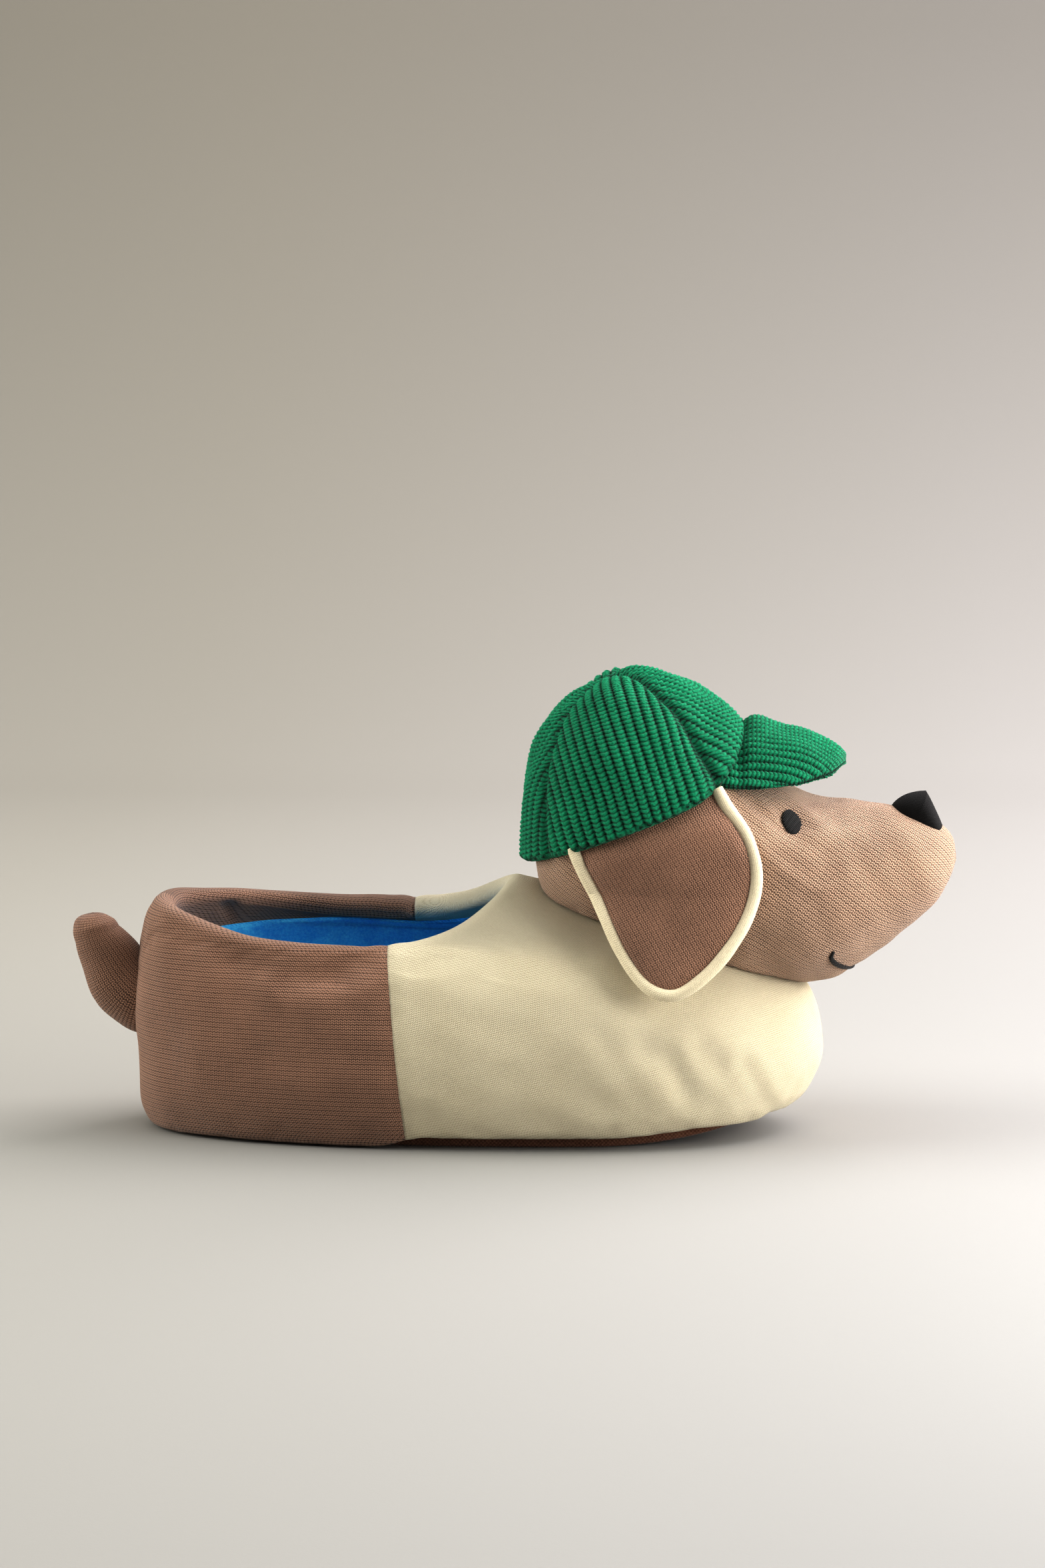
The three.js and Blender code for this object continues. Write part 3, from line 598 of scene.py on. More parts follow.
def soleBottom(x):
    run = 0.86 * halfLength - sole["springStart"]
    return sole["spring"] * (np.maximum(0, x - sole["springStart"]) / run) ** 2


def soleTop(x):
    return soleBottom(x) + sole["thickness"]


def lipHeight(x):
    rise = ease(sole["lipStart"], sole["lipStart"] + sole["lipRun"], x)
    rise *= 1 - ease(0.62 * halfLength, 0.84 * halfLength, x)
    return soleBottom(x) + sole["heelLip"] + (sole["sideLip"] - sole["heelLip"]) * rise


def footOutline(back, front, side, middle, angle):
    c, s = np.cos(angle), np.sin(angle)
    power = 2 / body["roundness"]
    x = middle + np.where(c > 0, front - middle, middle - back) * signedPower(c, power)
    return x, side * signedPower(s, power) + swing(x)


def bodyPoint(row, angle):
    row, angle = np.broadcast_arrays(row, angle)
    back, front, middle = (along(body[key], row) * halfLength for key in ("back", "front", "middle"))
    x, y = footOutline(back, front, along(body["side"], row) * halfWidth, middle, angle)
    c, s = np.cos(angle), np.sin(angle)
    flank = along(body["flank"], row) * np.where(s > 0, body["innerCollar"], body["outerCollar"])
    toe, heel = along(body["toe"], row) * body["instep"], along(body["heel"], row) * body["heelHeight"]
    end = np.where(c > 0, toe, heel)
    height = flank + (end - flank) * np.abs(c) ** 2.5
    seam, lip = soleTop(x) + gap, lipHeight(x)
    low = np.where(row < 1, seam + (lip - seam) * row, lip + (height - lip) * ease(1, 2, row))
    return np.stack([x, y, np.where(row < 2, low, height)], -1)


def bodyFrame(row, angle):
    around = bodyPoint(row, angle + 0.03) - bodyPoint(row, angle - 0.03)
    upward = bodyPoint(np.minimum(rimRow, row + 0.06), angle) - bodyPoint(np.maximum(0, row - 0.06), angle)
    out = unit(np.cross(around, upward))
    return out, unit(np.cross(out, around))


def seamOutline(inset, angle):
    ends = (body["back"][0] * halfLength + inset, body["front"][0] * halfLength - inset)
    return footOutline(*ends, body["side"][0] * halfWidth - inset, body["middle"][0] * halfLength, angle)


def flatRing(inset, heightOf, angle):
    x, y = seamOutline(inset, angle)
    return np.stack([x, y, heightOf(x)], -1)


# Soft folds and hollows of the padding: start, end, width and depth in millimetres.
folds = [
    dict(start=(-72, -34, 55), end=(-40, -38, 50), width=4.5, depth=1.2),
    dict(start=(-52, -38, 49), end=(-30, -36, 55), width=4.0, depth=0.9),
    dict(start=(-84, -24, 60), end=(-66, -33, 50), width=6.0, depth=0.9),
    dict(start=(84, -17, 8), end=(90, -14, 17), width=2.2, depth=0.9),
    dict(start=(50, -42, 30), end=(70, -36, 14), width=4.5, depth=0.7),
    dict(start=(66, -37, 30), end=(80, -28, 12), width=3.5, depth=0.7),
    dict(start=(24, -43, 24), end=(44, -43, 10), width=4.5, depth=0.5),
    dict(start=(36, -44, 36), end=(50, -42, 13), width=3.2, depth=0.5),
    dict(start=(57, -41, 28), end=(64, -37, 10), width=2.6, depth=0.5),
    dict(start=(77, -30, 25), end=(86, -22, 9), width=2.6, depth=0.6),
    dict(start=(-98, -6, 20), end=(-90, -24, 26), width=7.0, depth=0.9),
    dict(start=(-72, 36, 57), end=(-38, 38, 52), width=5.0, depth=1.0),
    dict(start=(58, 44, 34), end=(80, 34, 14), width=6.0, depth=1.0),
    dict(start=(10, 46, 30), end=(34, 46, 12), width=7.0, depth=0.8),
    dict(start=(86, 16, 8), end=(91, 14, 18), width=2.5, depth=1.2),
]


def foldDepth(points):
    depth = np.zeros(points.shape[:-1])
    for fold in folds:
        away = nearLine(points, fold["start"], fold["end"]) / fold["width"]
        depth += fold["depth"] * (np.exp(-away ** 2) - 0.35 * np.exp(-((away - 1.9) / 0.9) ** 2))
    return depth


def seamPlace(points):  # millimetres in front of the side seam, below 0 on the brown half
    rise = np.clip(points[..., 2] / 60, 0, 1)
    outer = body["seamBottom"] + (body["seamTop"] - body["seamBottom"]) * rise
    return points[..., 0] - np.where(points[..., 1] > 0, body["innerSeam"], outer)


def bodyRows(low, middle, top):  # places up the wall, closest together at the sole and at the rim
    parts = (np.linspace(0, 2, low), np.linspace(2, 7, middle)[1:], np.linspace(7, rimRow, top)[1:])
    return np.concatenate(parts)


def addBody(materials):
    # The outer wall, then the rim as a half circle, then the inner wall with the band and the lining.
    angle = turns(420, math.pi)
    outerRows = bodyRows(16, 52, 18)[:, None]
    outer = bodyPoint(outerRows, angle)
    out, _ = bodyFrame(outerRows, angle)
    swell = swells(outer, body["swells"]) - foldDepth(outer)
    fromSeam = np.abs(seamPlace(outer))
    tuck = 0.45 * np.exp(-(fromSeam / 1.2) ** 2) - 0.25 * np.exp(-((fromSeam - 4) / 2.2) ** 2)
    calm = ease(0.6, 2.4, outerRows)
    coarseRows = bodyRows(9, 29, 7)
    coarse = bodyPoint(coarseRows[:, None], turns(168, math.pi))
    held = 1 - ease(0.9, 1.3, coarseRows) * (1 - ease(7.3, 7.8, coarseRows))
    pins = np.maximum(held[:, None], 0.6 * (np.abs(seamPlace(coarse)) < 1.4))
    moved = billow(coarse, pins, body["growth"], body["limit"])
    filled = finer(moved, np.interp(outerRows[:, 0], coarseRows, np.arange(len(coarseRows))), angle.size)
    outer = outer + out * ((swell - tuck) * calm)[..., None] + filled
    rimOut, rimUp = bodyFrame(np.full_like(angle, rimRow), angle)
    radius = body["wall"] / 2
    edge = outer[-1:]
    centre = edge - radius * rimOut
    turn = np.linspace(0, math.pi, 13)[1:-1, None, None]
    fullness = 1 + swells(centre, body["rimSwells"])[..., None]
    rim = centre + radius * (rimOut * np.cos(turn) + rimUp * np.sin(turn) * fullness)
    innerRows = np.linspace(rimRow, 2, 90)[:, None]
    innerOut, _ = bodyFrame(innerRows, angle)
    inner = bodyPoint(innerRows, angle) - body["wall"] * innerOut
    seat = flatRing(sole["seat"], lambda x: soleTop(x) + gap, angle)
    drop = np.concatenate([inner, seat], 0)
    total = np.linalg.norm(np.diff(drop, axis=0), axis=-1).sum(0)
    bandPlaces = np.linspace(0, body["bandDepth"], 9)[:, None] * np.ones_like(angle)
    liningShare = np.linspace(0, 1, 40)[1:, None] ** 1.2
    liningPlaces = body["bandDepth"] + (total - body["bandDepth"] - 0.01) * liningShare
    inside = resample(drop, np.vstack([bandPlaces, liningPlaces]))
    inwards = gridNormals(inside, np.array([-10, 0, 30]) - inside)
    depth = np.vstack([bandPlaces, liningPlaces])
    step = body["liningStep"] * ease(body["bandDepth"], body["bandDepth"] + 1.2, depth)
    ripple = swells(inside, body["liningSwells"]) * ease(2, 14, depth) * (1 - ease(0.8, 1.0, depth / total))
    crease = body["heelCrease"]
    fromCrease = nearLine(inside, crease["start"], crease["end"]) / crease["width"]
    pinch = crease["depth"] * np.exp(-fromCrease ** 2)
    inside = inside + inwards * (step + ripple - pinch)[..., None]
    points = np.concatenate([outer, rim, inside], 0)
    slots = np.zeros(len(points), int)
    slots[len(outer) + len(rim) + len(bandPlaces) - 1:-1] = 1
    traits = dict(seam=seamPlace(points))
    # The courses of the brown knit lie level, so up to the rim v is the height there.
    cloth = clothSizes(points, True)
    height = closed(points)[..., 2]
    top = len(outer)
    level = np.concatenate([height[:top], cloth[top:, :, 1] - cloth[top - 1, :, 1] + height[top - 1]])
    x = closed(outer[-1:])[..., 0]
    cloth[..., 1] += (level - cloth[..., 1]) * (1 - ease(-15, 25, x))
    return addPiece("body", points, materials, wrapRows=True, cloth=cloth, traits=traits, slots=slots)


bodyMaterial = bodyKnit()
liningMaterial = brushed("blue lining", shades["blueLight"], shades["blueDark"], 0.8, 0.35)
bodyPiece = addBody([bodyMaterial, liningMaterial])
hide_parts("upper")


def heightMap(points, cell=1.0):  # the highest point of the body over each square of the floor
    low = np.array([-110, -60])
    size = np.array([230, 120])
    grid = np.full(size, -1.0)
    flat = points.reshape(-1, 3)
    index = np.clip(((flat[:, :2] - low) / cell).astype(int), 0, size - 1)
    np.maximum.at(grid, (index[:, 0], index[:, 1]), flat[:, 2])
    for _ in range(4):
        spread = np.max([np.roll(grid, shift, axis) for shift in (-1, 1) for axis in (0, 1)], 0)
        grid = np.where(grid < 0, spread - 0.4, grid)
    return grid, low, cell


def readMap(heights, x, y):
    grid, low, cell = heights
    fx = np.clip((x - low[0]) / cell - 0.5, 0, grid.shape[0] - 1.001)
    fy = np.clip((y - low[1]) / cell - 0.5, 0, grid.shape[1] - 1.001)
    i, j = fx.astype(int), fy.astype(int)
    a, b = fx - i, fy - j
    near = grid[i, j] * (1 - a) * (1 - b) + grid[i + 1, j] * a * (1 - b)
    return near + grid[i, j + 1] * (1 - a) * b + grid[i + 1, j + 1] * a * b


bodyTop = heightMap(bodyPoint(np.linspace(3, rimRow, 260)[:, None], turns(900)))


print("stage: sole and insole")


def addSole(material):
    angle = turns(300)
    edge, deep = sole["edge"], sole["thickness"]
    turn = np.linspace(0, math.pi / 2, 7)[1:]
    shares = np.linspace(0.02, 1, 30)[:, None]
    x, y = seamOutline(gap + edge, angle)
    base = np.stack(np.broadcast_arrays(x, swing(x) + (y - swing(x)) * shares, soleBottom(x)), -1)
    corner = [(edge * (1 - math.sin(t)), edge * (1 - math.cos(t))) for t in turn]
    upright = [(0, edge + (deep - edge) * share) for share in np.linspace(0, 1, 6)[1:]]
    side = np.concatenate([flatRing(gap + inset, lambda x: soleBottom(x) + rise, angle)
                           for inset, rise in corner + upright])
    x, y = seamOutline(gap, angle)
    top = np.stack(np.broadcast_arrays(x, swing(x) + (y - swing(x)) * shares[::-1] * 0.98, soleTop(x)), -1)
    points = np.concatenate([base, side, top])
    cloth = closed(points[..., :2])
    sideRows = slice(len(base), len(base) + len(side))
    cloth[sideRows, :, 1] = closed(side)[..., 2]
    return addPiece("sole", points, [material], ends=endMiddles(points), cloth=cloth)


def soleCloth():  # a close basket weave of thick yarn
    weave = Cloth("sole cloth", roughness=0.9, sheen=0.2)
    yarnWidth = 0.55
    threads = (weave.u * (math.pi / yarnWidth)).sine() * (weave.v * (math.pi / yarnWidth)).sine()
    tone = threads * 0.25 + weave.noise(0.8)
    colour = weave.ramp(tone, [(0.25, shades["soleDark"]), (0.75, shades["soleLight"])])
    return weave.finish(colour, tone, 0.2)


solePiece = addSole(soleCloth())
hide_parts("outsole")

insole = dict(thickness=4.5, crown=1.2, swells=[(0.25, 26, 8)])


def addInsole(material):
    angle = turns(300)
    inset = sole["seat"] + gap
    deep = insole["thickness"]
    levels = [(0.0, 0.0), (0.25, -0.05), (0.55, -0.08), (0.75, 0.02), (0.88, 0.14), (0.97, 0.34), (1.0, 0.67)]
    x, y = seamOutline(inset, angle)
    shares = np.linspace(0.02, 1, 12)[:-1, None]
    base = np.stack(np.broadcast_arrays(x, swing(x) + (y - swing(x)) * shares, soleTop(x) + gap), -1)
    sides = np.concatenate([flatRing(inset + inward * deep, lambda x: soleTop(x) + gap + rise * deep, angle)
                            for rise, inward in levels])
    x, y = seamOutline(inset + 0.67 * deep, angle)
    shares = np.linspace(0.98, 0.02, 34)[:, None]
    z = soleTop(x) + gap + deep + insole["crown"] * (1 - shares ** 2) * 0.6
    top = np.stack(np.broadcast_arrays(x, swing(x) + (y - swing(x)) * shares, z), -1)
    top[..., 2] += swells(top, insole["swells"]) * (1 - shares ** 4)
    points = np.concatenate([base, sides, top])
    return addPiece("insole-pad", points, [material], ends=endMiddles(points), cloth=closed(points[..., :2]))


insolePiece = addInsole(liningMaterial)
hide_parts("insole")


print("stage: head")

# Sections from the nape to the tip of the muzzle, as shares of the head's length, height and half width.
head = dict(
    back=16, rise=44, length=122.8, height=88, width=72, fullness=2.2,
    along=[0.0, 0.012, 0.045, 0.115, 0.215, 0.325, 0.425, 0.520, 0.650, 0.750, 0.850, 0.930, 0.983, 1.0],
    top=[0.5, 0.670, 0.815, 0.930, 0.997, 0.970, 0.880, 0.745, 0.625, 0.600, 0.580, 0.545, 0.490, 0.410],
    bottom=[0.5, 0.330, 0.240, 0.180, 0.120, 0.060, 0.025, 0.005, 0.0, 0.050, 0.145, 0.235, 0.325, 0.410],
    side=[0.0, 0.44, 0.67, 0.86, 0.97, 1.0, 1.0, 0.97, 0.91, 0.81, 0.67, 0.50, 0.27, 0.0],
    eyeAlong=0.61, eyeUp=0.558, eyeLong=7.6, eyeWide=4.9, eyeTurn=33,
    growth=0.004, limit=0.7, restsTo=99, coveredTo=78, swells=[(0.55, 30, 11), (0.2, 12, 12)],
    eyeHollow=dict(depth=1.5, width=4.2), eyeRidge=dict(rise=0.5, away=8.5, width=3.5),
)
headRows = len(head["along"]) - 1
headShift = float(swing(0.5 * halfLength))


def headSection(row):
    x = head["back"] + along(head["along"], row) * head["length"]
    top, bottom = (head["rise"] + along(head[key], row) * head["height"] for key in ("top", "bottom"))
    return x, top, bottom, along(head["side"], row) * head["width"] / 2


def headPoint(row, angle):  # an oval across the head: angle 0 is the inner side, a quarter turn is the top
    x, top, bottom, side = headSection(row)
    power = 2 / head["fullness"]
    y = headShift + side * signedPower(np.cos(angle), power)
    z = (top + bottom) / 2 + (top - bottom) / 2 * signedPower(np.sin(angle), power)
    return np.stack(np.broadcast_arrays(x, y, z), -1)


sectionX, *sectionValues = headSection(np.linspace(0, headRows, 600))


def sectionAt(x):  # the head's top, bottom and half width
    return [np.interp(x, sectionX, values) for values in sectionValues]


def headLevel(points):  # below 1 inside the head's form, above 1 outside it
    x = points[..., 0]
    top, bottom, side = sectionAt(x)
    half = np.maximum((top - bottom) / 2, 0.05)
    y = np.abs(points[..., 1] - headShift) / np.maximum(side, 0.05)
    z = np.abs(points[..., 2] - (top + bottom) / 2) / half
    level = y ** head["fullness"] + z ** head["fullness"]
    return np.where((x < sectionX[0]) | (x > sectionX[-1]), 10.0, level)


def toHead(start, direction, reach):  # where lines from inside the head leave its form
    low, high = np.zeros(start.shape[:-1]), np.full(start.shape[:-1], float(reach))
    for _ in range(26):
        middle = (low + high) / 2
        inside = headLevel(start + direction * middle[..., None]) < 1
        low, high = np.where(inside, middle, low), np.where(inside, high, middle)
    return start + direction * low[..., None]


def headSide(x, z):
    top, bottom, side = sectionAt(x)
    rise = np.minimum(1, np.abs((2 * z - top - bottom) / (top - bottom)))
    return side * (1 - rise ** head["fullness"]) ** (1 / head["fullness"])


eyeX = head["back"] + head["eyeAlong"] * head["length"]
eyeZ = head["rise"] + head["eyeUp"] * head["height"]


cap = dict(
    thickness=3.0, bandRise=37.5, bandSlope=21.2, bandArch=14, centre=(46, 92), lean=0.20,
    seams=(53, 134), ribLean=20, rib=2.65, stitch=1.25,
    ribDepth=0.7, stitchDepth=0.45, seamDepth=1.7, seamWidth=1.4, puff=1.0, puffWidth=7,
    earPlace=50, earReach=26, earBulge=1.6, swells=[(0.4, 16, 21), (0.1, 1.1, 22, 24)],
)


def bandAt(x, y):
    across = (y - headShift) / (head["width"] / 2)
    brow = head["back"] + 0.42 * head["length"]
    forward = ease(brow - 0.12 * head["length"], brow + 0.07 * head["length"], x)
    arch = cap["bandArch"] * forward * np.maximum(0, 1 - across ** 2)
    slope = math.tan(math.radians(cap["bandSlope"]))
    return head["rise"] + cap["bandRise"] + (x - head["back"]) * slope + arch


# Dents on each side of the head, beside the muzzle and under the cheek, with their distance from its middle.
headDents = [
    dict(start=(104, 17, 57), end=(109, 8, 50), width=2.4, depth=0.7),
    dict(start=(62, 30, 62), end=(84, 30, 60), width=5, depth=0.8),
]


def addHead(material):
    nape, tip = [0.12, 0.3, 0.5, 0.75], [12.2, 12.4, 12.6, 12.75, 12.9]
    rows = np.concatenate([nape, np.arange(1, headRows - 0.9, 0.1), tip])[:, None]
    angle = -math.pi / 2 - turns(200)
    points = headPoint(rows, angle)
    out = gridNormals(points, points - np.array([70, headShift, 85]))
    swell = swells(points, head["swells"])
    hollow, ridge = head["eyeHollow"], head["eyeRidge"]
    for side in (-1, 1):
        eye = np.array([eyeX, headShift + side * float(headSide(eyeX, eyeZ)), eyeZ])
        away = np.linalg.norm(points - eye, axis=-1)
        swell -= hollow["depth"] * np.exp(-(away / hollow["width"]) ** 2)
        swell += ridge["rise"] * np.exp(-((away - ridge["away"]) / ridge["width"]) ** 2)
        for dent in headDents:
            start, end = ((x, headShift + side * y, z) for x, y, z in (dent["start"], dent["end"]))
            swell -= dent["depth"] * np.exp(-(nearLine(points, start, end) / dent["width"]) ** 2)
    coarseRows = np.linspace(0.5, 12.6, 56)
    coarse = headPoint(coarseRows[:, None], -math.pi / 2 - turns(100))
    x, y, z = (coarse[..., i] for i in range(3))
    held = (z < readMap(bodyTop, x, y) + 1.5) & (x < head["restsTo"])
    covered = (z > bandAt(x, y) - 2) & (x < head["coveredTo"])
    moved = billow(coarse, np.where(held | covered, 1.0, 0.0), head["growth"], head["limit"])
    filled = finer(moved, np.interp(rows[:, 0], coarseRows, np.arange(len(coarseRows))), angle.size)
    points = points + out * swell[..., None] + filled
    rest = readMap(bodyTop, points[..., 0], points[..., 1]) + gap
    onBody = (rest > 0) & (points[..., 0] < head["restsTo"])
    points[..., 2] = np.where(onBody, np.maximum(points[..., 2], rest), points[..., 2])
    ends = headPoint(np.array([0.0, float(headRows)]), np.array([0.0, 0.0]))
    # The knit lies on each cheek as it would lie flat: u follows the cheek forward and v goes up it.
    arc = pathLength(closed(points), 1)
    quarter = angle.size // 4
    rise = np.concatenate([arc[:, :2 * quarter] - arc[:, quarter:quarter + 1],
                           arc[:, 3 * quarter:3 * quarter + 1] - arc[:, 2 * quarter:]], 1)
    forward = pathLength(points[:, quarter:quarter + 1, :2], 0)
    cloth = np.stack(np.broadcast_arrays(forward, rise + points[:, quarter, 2:3]), -1)
    return addPiece("head-stuffed", points, [material], ends=ends, cloth=cloth)


headKnit = plainKnit("head knit", shades["headLight"], shades["headDark"], headKnitSizes, 36, 0.8, 0.34)
headPiece = addHead(headKnit)
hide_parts("head")


print("stage: cap")


def ribs(across, length):
    # Rounded ribs with narrow valleys, each one a stack of slanting loops of yarn.
    edge = np.abs((across / cap["rib"] + 0.5) % 1 - 0.5) * 2
    ridge = 1 - edge ** 2.4
    loop = 0.5 + 0.5 * np.cos(2 * math.pi * (length / cap["stitch"] + 0.5 * edge))
    return ridge, loop * (1 - 0.6 * edge ** 3)


def addCrown(material):
    centre = np.array([cap["centre"][0], headShift, cap["centre"][1]])
    axis = unit(np.array([-cap["lean"], 0, 1.0]))
    ahead = unit(np.array([1.0, 0, cap["lean"]]))
    beside = np.array([0, 1.0, 0])
    turn = turns(520)
    flat = ahead * np.cos(turn)[..., None] + beside * np.sin(turn)[..., None]

    def skin(tilt):
        direction = axis * np.cos(tilt)[..., None] + flat * np.sin(tilt)[..., None]
        return toHead(np.broadcast_to(centre, direction.shape), direction, 90)

    probe = np.linspace(0.3, 2.2, 90)[:, None] * np.ones_like(turn)
    sampled = skin(probe)
    clear = sampled[..., 2] - bandAt(sampled[..., 0], sampled[..., 1])
    last = np.argmin(clear > 0, 0)
    columns = np.arange(turn.size)
    high, low = clear[last - 1, columns], clear[last, columns]
    share = high / (high - low)
    bandTilt = probe[last - 1, columns] * (1 - share) + probe[last, columns] * share
    shares = np.linspace(0.01, 1, 168)[:, None]
    base = skin(bandTilt[None] * shares)
    out = gridNormals(base, base - centre)
    meridian = pathLength(base, 0)
    signed = (turn + math.pi) % (2 * math.pi) - math.pi
    frontSeam, backSeam = np.radians(cap["seams"])
    isSide = (np.abs(signed) > frontSeam) & (np.abs(signed) < backSeam)
    lean = math.radians(cap["ribLean"])
    fromCentre = base - centre
    sideways = fromCentre[..., 0] * math.cos(lean) + fromCentre[..., 2] * math.sin(lean)
    across = np.where(isSide, sideways, fromCentre[..., 1])
    radial = np.linalg.norm(np.cross(fromCentre, axis), axis=-1)
    toSeam = np.minimum(np.abs(np.abs(signed) - frontSeam), np.abs(np.abs(signed) - backSeam))
    seamAway = radial * np.sin(np.minimum(toSeam, math.pi / 2))
    ridge, loop = ribs(across, meridian)
    lift = cap["ribDepth"] * (ridge - 1) + cap["stitchDepth"] * (loop - 0.6)
    lift = lift * ease(0, 3, seamAway) + swells(base, cap["swells"])
    lift -= cap["seamDepth"] * np.exp(-(seamAway / cap["seamWidth"]) ** 2) * ease(0, 4, meridian)
    lift += cap["puff"] * (1 - np.exp(-(seamAway / cap["puffWidth"]) ** 2))
    overEar = np.exp(-((base[..., 0] - cap["earPlace"]) / cap["earReach"]) ** 4)
    lift += cap["earBulge"] * overEar * ease(14, 2, meridian[-1] - meridian)
    outer = base + out * (gap + cap["thickness"] - 0.4 + lift)[..., None]
    radius = cap["thickness"] / 2
    downward = unit(base[-1:] - base[-4:-3])
    rim = outer[-1:] - radius * out[-1:]
    hemTurn = np.linspace(0, math.pi, 8)[1:, None, None]
    hem = rim + radius * (out[-1:] * np.cos(hemTurn) + downward * np.sin(hemTurn))
    inner = (base + out * gap)[::-12][:-1]
    points = np.concatenate([outer, hem, inner])
    cloth = closed(np.stack([across, meridian], -1))
    rest = len(hem) + len(inner)
    tail = np.repeat(cloth[-1:], rest, 0)
    tail[..., 1] += np.linspace(0, 8, rest)[:, None]
    cloth = np.concatenate([cloth, tail])
    # Painted shade: the ridge trait is lowered along the seams, so the seam grooves come out darker.
    height = ridge * (1 - 0.6 * np.exp(-(seamAway / 1.5) ** 2))
    traits = dict(ridge=np.concatenate([height, np.full((rest, turn.size), 0.4)]))
    return addPiece("cap-crown", points, [material], ends=endMiddles(points), cloth=cloth, traits=traits)


greenRib = ribKnit("green rib knit", cap["rib"], cap["stitch"])
crownPiece = addCrown(greenRib)
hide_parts("cap_crown")

visor = dict(
    length=33, width=61, thickness=6.5, roundness=2.3, drop=6.5, arch=13.5, rise=73, slope=1.5,
    rootAlong=0.47, ribShare=0.85, swells=[(0.4, 15, 23), (0.08, 1.1, 24, 24)],
)
# Folds across the top of the visor: the middle and the width of each, forward and across, and its rise.
visorFolds = [
    dict(middle=(80.5, 0), width=(4.2, 15), rise=1.6),
    dict(middle=(75.8, 0), width=(2.0, math.inf), rise=-1.4),
    dict(middle=(89, -4), width=(4.0, 12), rise=-0.8),
]


def visorPoint(share, angle):
    ahead = np.maximum(0, share)
    width = visor["width"] / 2 * (1 - ahead ** 2.6) ** (1 / 2.1)
    thick = visor["thickness"] * (1 - ahead ** 7) ** 0.5
    x = head["back"] + visor["rootAlong"] * head["length"] + share * visor["length"]
    middle = head["rise"] + visor["rise"] - visor["drop"] * ahead ** 3 - visor["slope"] * share
    power = 2 / visor["roundness"]
    y = width * signedPower(np.cos(angle), power)
    arch = visor["arch"] * (y / (visor["width"] / 2)) ** 2
    z = middle + thick / 2 * signedPower(np.sin(angle), power) - arch
    return np.stack(np.broadcast_arrays(x, y + headShift, z), -1)


def addVisor(material):
    share = np.concatenate([np.linspace(-0.3, 0.8, 92), np.linspace(0.8, 0.985, 34)[1:]])[:, None]
    angle = turns(380, -math.pi / 2)
    base = visorPoint(share, angle)
    out = gridNormals(base, np.sign(np.sin(angle))[..., None] * [0, 0, 1])
    length = pathLength(base, 0)
    across = base[..., 1] - headShift
    spread = across * (1 + 0.1 * np.abs(across) / 30)
    ridge, loop = ribs(spread, length)
    brim = np.abs(np.sin(angle)) * np.ones_like(share)
    lift = (cap["ribDepth"] * (ridge - 1) + cap["stitchDepth"] * (loop - 0.6)) * ease(0.05, 0.3, brim)
    lift *= visor["ribShare"] * (1 - 0.7 * ease(0.86, 0.97, share))
    lift -= 0.8 * np.exp(-(brim / 0.09) ** 2)
    lift += swells(base, visor["swells"])
    above = np.maximum(0, np.sin(angle)) ** 0.5
    place = np.stack([base[..., 0], across], -1)
    for fold in visorFolds:
        away = (place - fold["middle"]) / fold["width"]
        lift += fold["rise"] * np.exp(-(away ** 2).sum(-1)) * above
    points = base + out * lift[..., None]
    root = visorPoint(np.array([-0.33]), np.array([0.0]))[0] * [1, 0, 1] + [0, headShift, 0]
    ends = [root, points[-1].mean(0) + [0.35, 0, 0]]
    cloth = closed(np.stack([spread, length], -1))
    # Painted shade: the ridge trait falls to nothing along the visor's edge, so the edge comes out darker.
    traits = dict(ridge=ridge * ease(0.0, 0.25, brim))
    return addPiece("cap-visor", points, [material], ends=ends, cloth=cloth, traits=traits)


visorPiece = addVisor(greenRib)
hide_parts("cap_visor")


print("stage: ears")

# The outline runs down the rear edge, round the tip and up the front edge, then behind the band.
ear = dict(
    width=56, length=56, thickness=5, tipRise=1.5, flare=9, hingeRise=30, clearance=0.9, binding=3.7,
    rear=0.11, freeEdge=12, hidden=5, swells=[(0.35, 18, 31)], bindingSwells=[(0.03, 9, 33)],
    along=[-0.09, -0.03, 0.08, 0.21, 0.34, 0.48, 0.61, 0.77, 0.90, 0.945, 0.90, 0.79, 0.66, 0.40, 0.10],
    up=[0.86, 0.68, 0.46, 0.20, 0.04, -0.01, 0.04, 0.19, 0.40, 0.60, 0.80, 0.97, 1.15, 1.20, 1.08],
)
earRear = head["back"] + ear["rear"] * head["length"]
earTip = head["rise"] + ear["tipRise"]


def earSide(x, z):  # how far the middle of the flap stands from the head's middle plane
    hinge = head["rise"] + ear["hingeRise"]
    start = hinge + 0.14 * ear["length"]
    hang = np.maximum(0, (start - z) / (start - earTip))
    away = ear["clearance"] + ear["thickness"] / 2 + ear["flare"] * hang ** 1.3
    return headSide(x, np.maximum(z, hinge)) + away


def earEdge(t, inset):  # the outline at place t, drawn in towards the middle of the ear
    count = len(ear["along"])
    values = [np.array(ear[key] + ear[key][:3]) for key in ("along", "up")]
    first = [np.concatenate([[v[count - 1]], v]) for v in values]

    def place(t):
        a, b = (along(v, (t % count) + 1) for v in first)
        return np.stack([earRear + a * ear["width"], earTip + b * ear["length"]], -1)

    forward = unit(place(t + 0.02) - place(t - 0.02))
    return place(t) + inset * np.stack([-forward[..., 1], forward[..., 0]], -1)


def underBand(x, z, side):  # how far a place lies below the band of the cap
    return bandAt(x, headShift + side * earSide(x, z)) - z


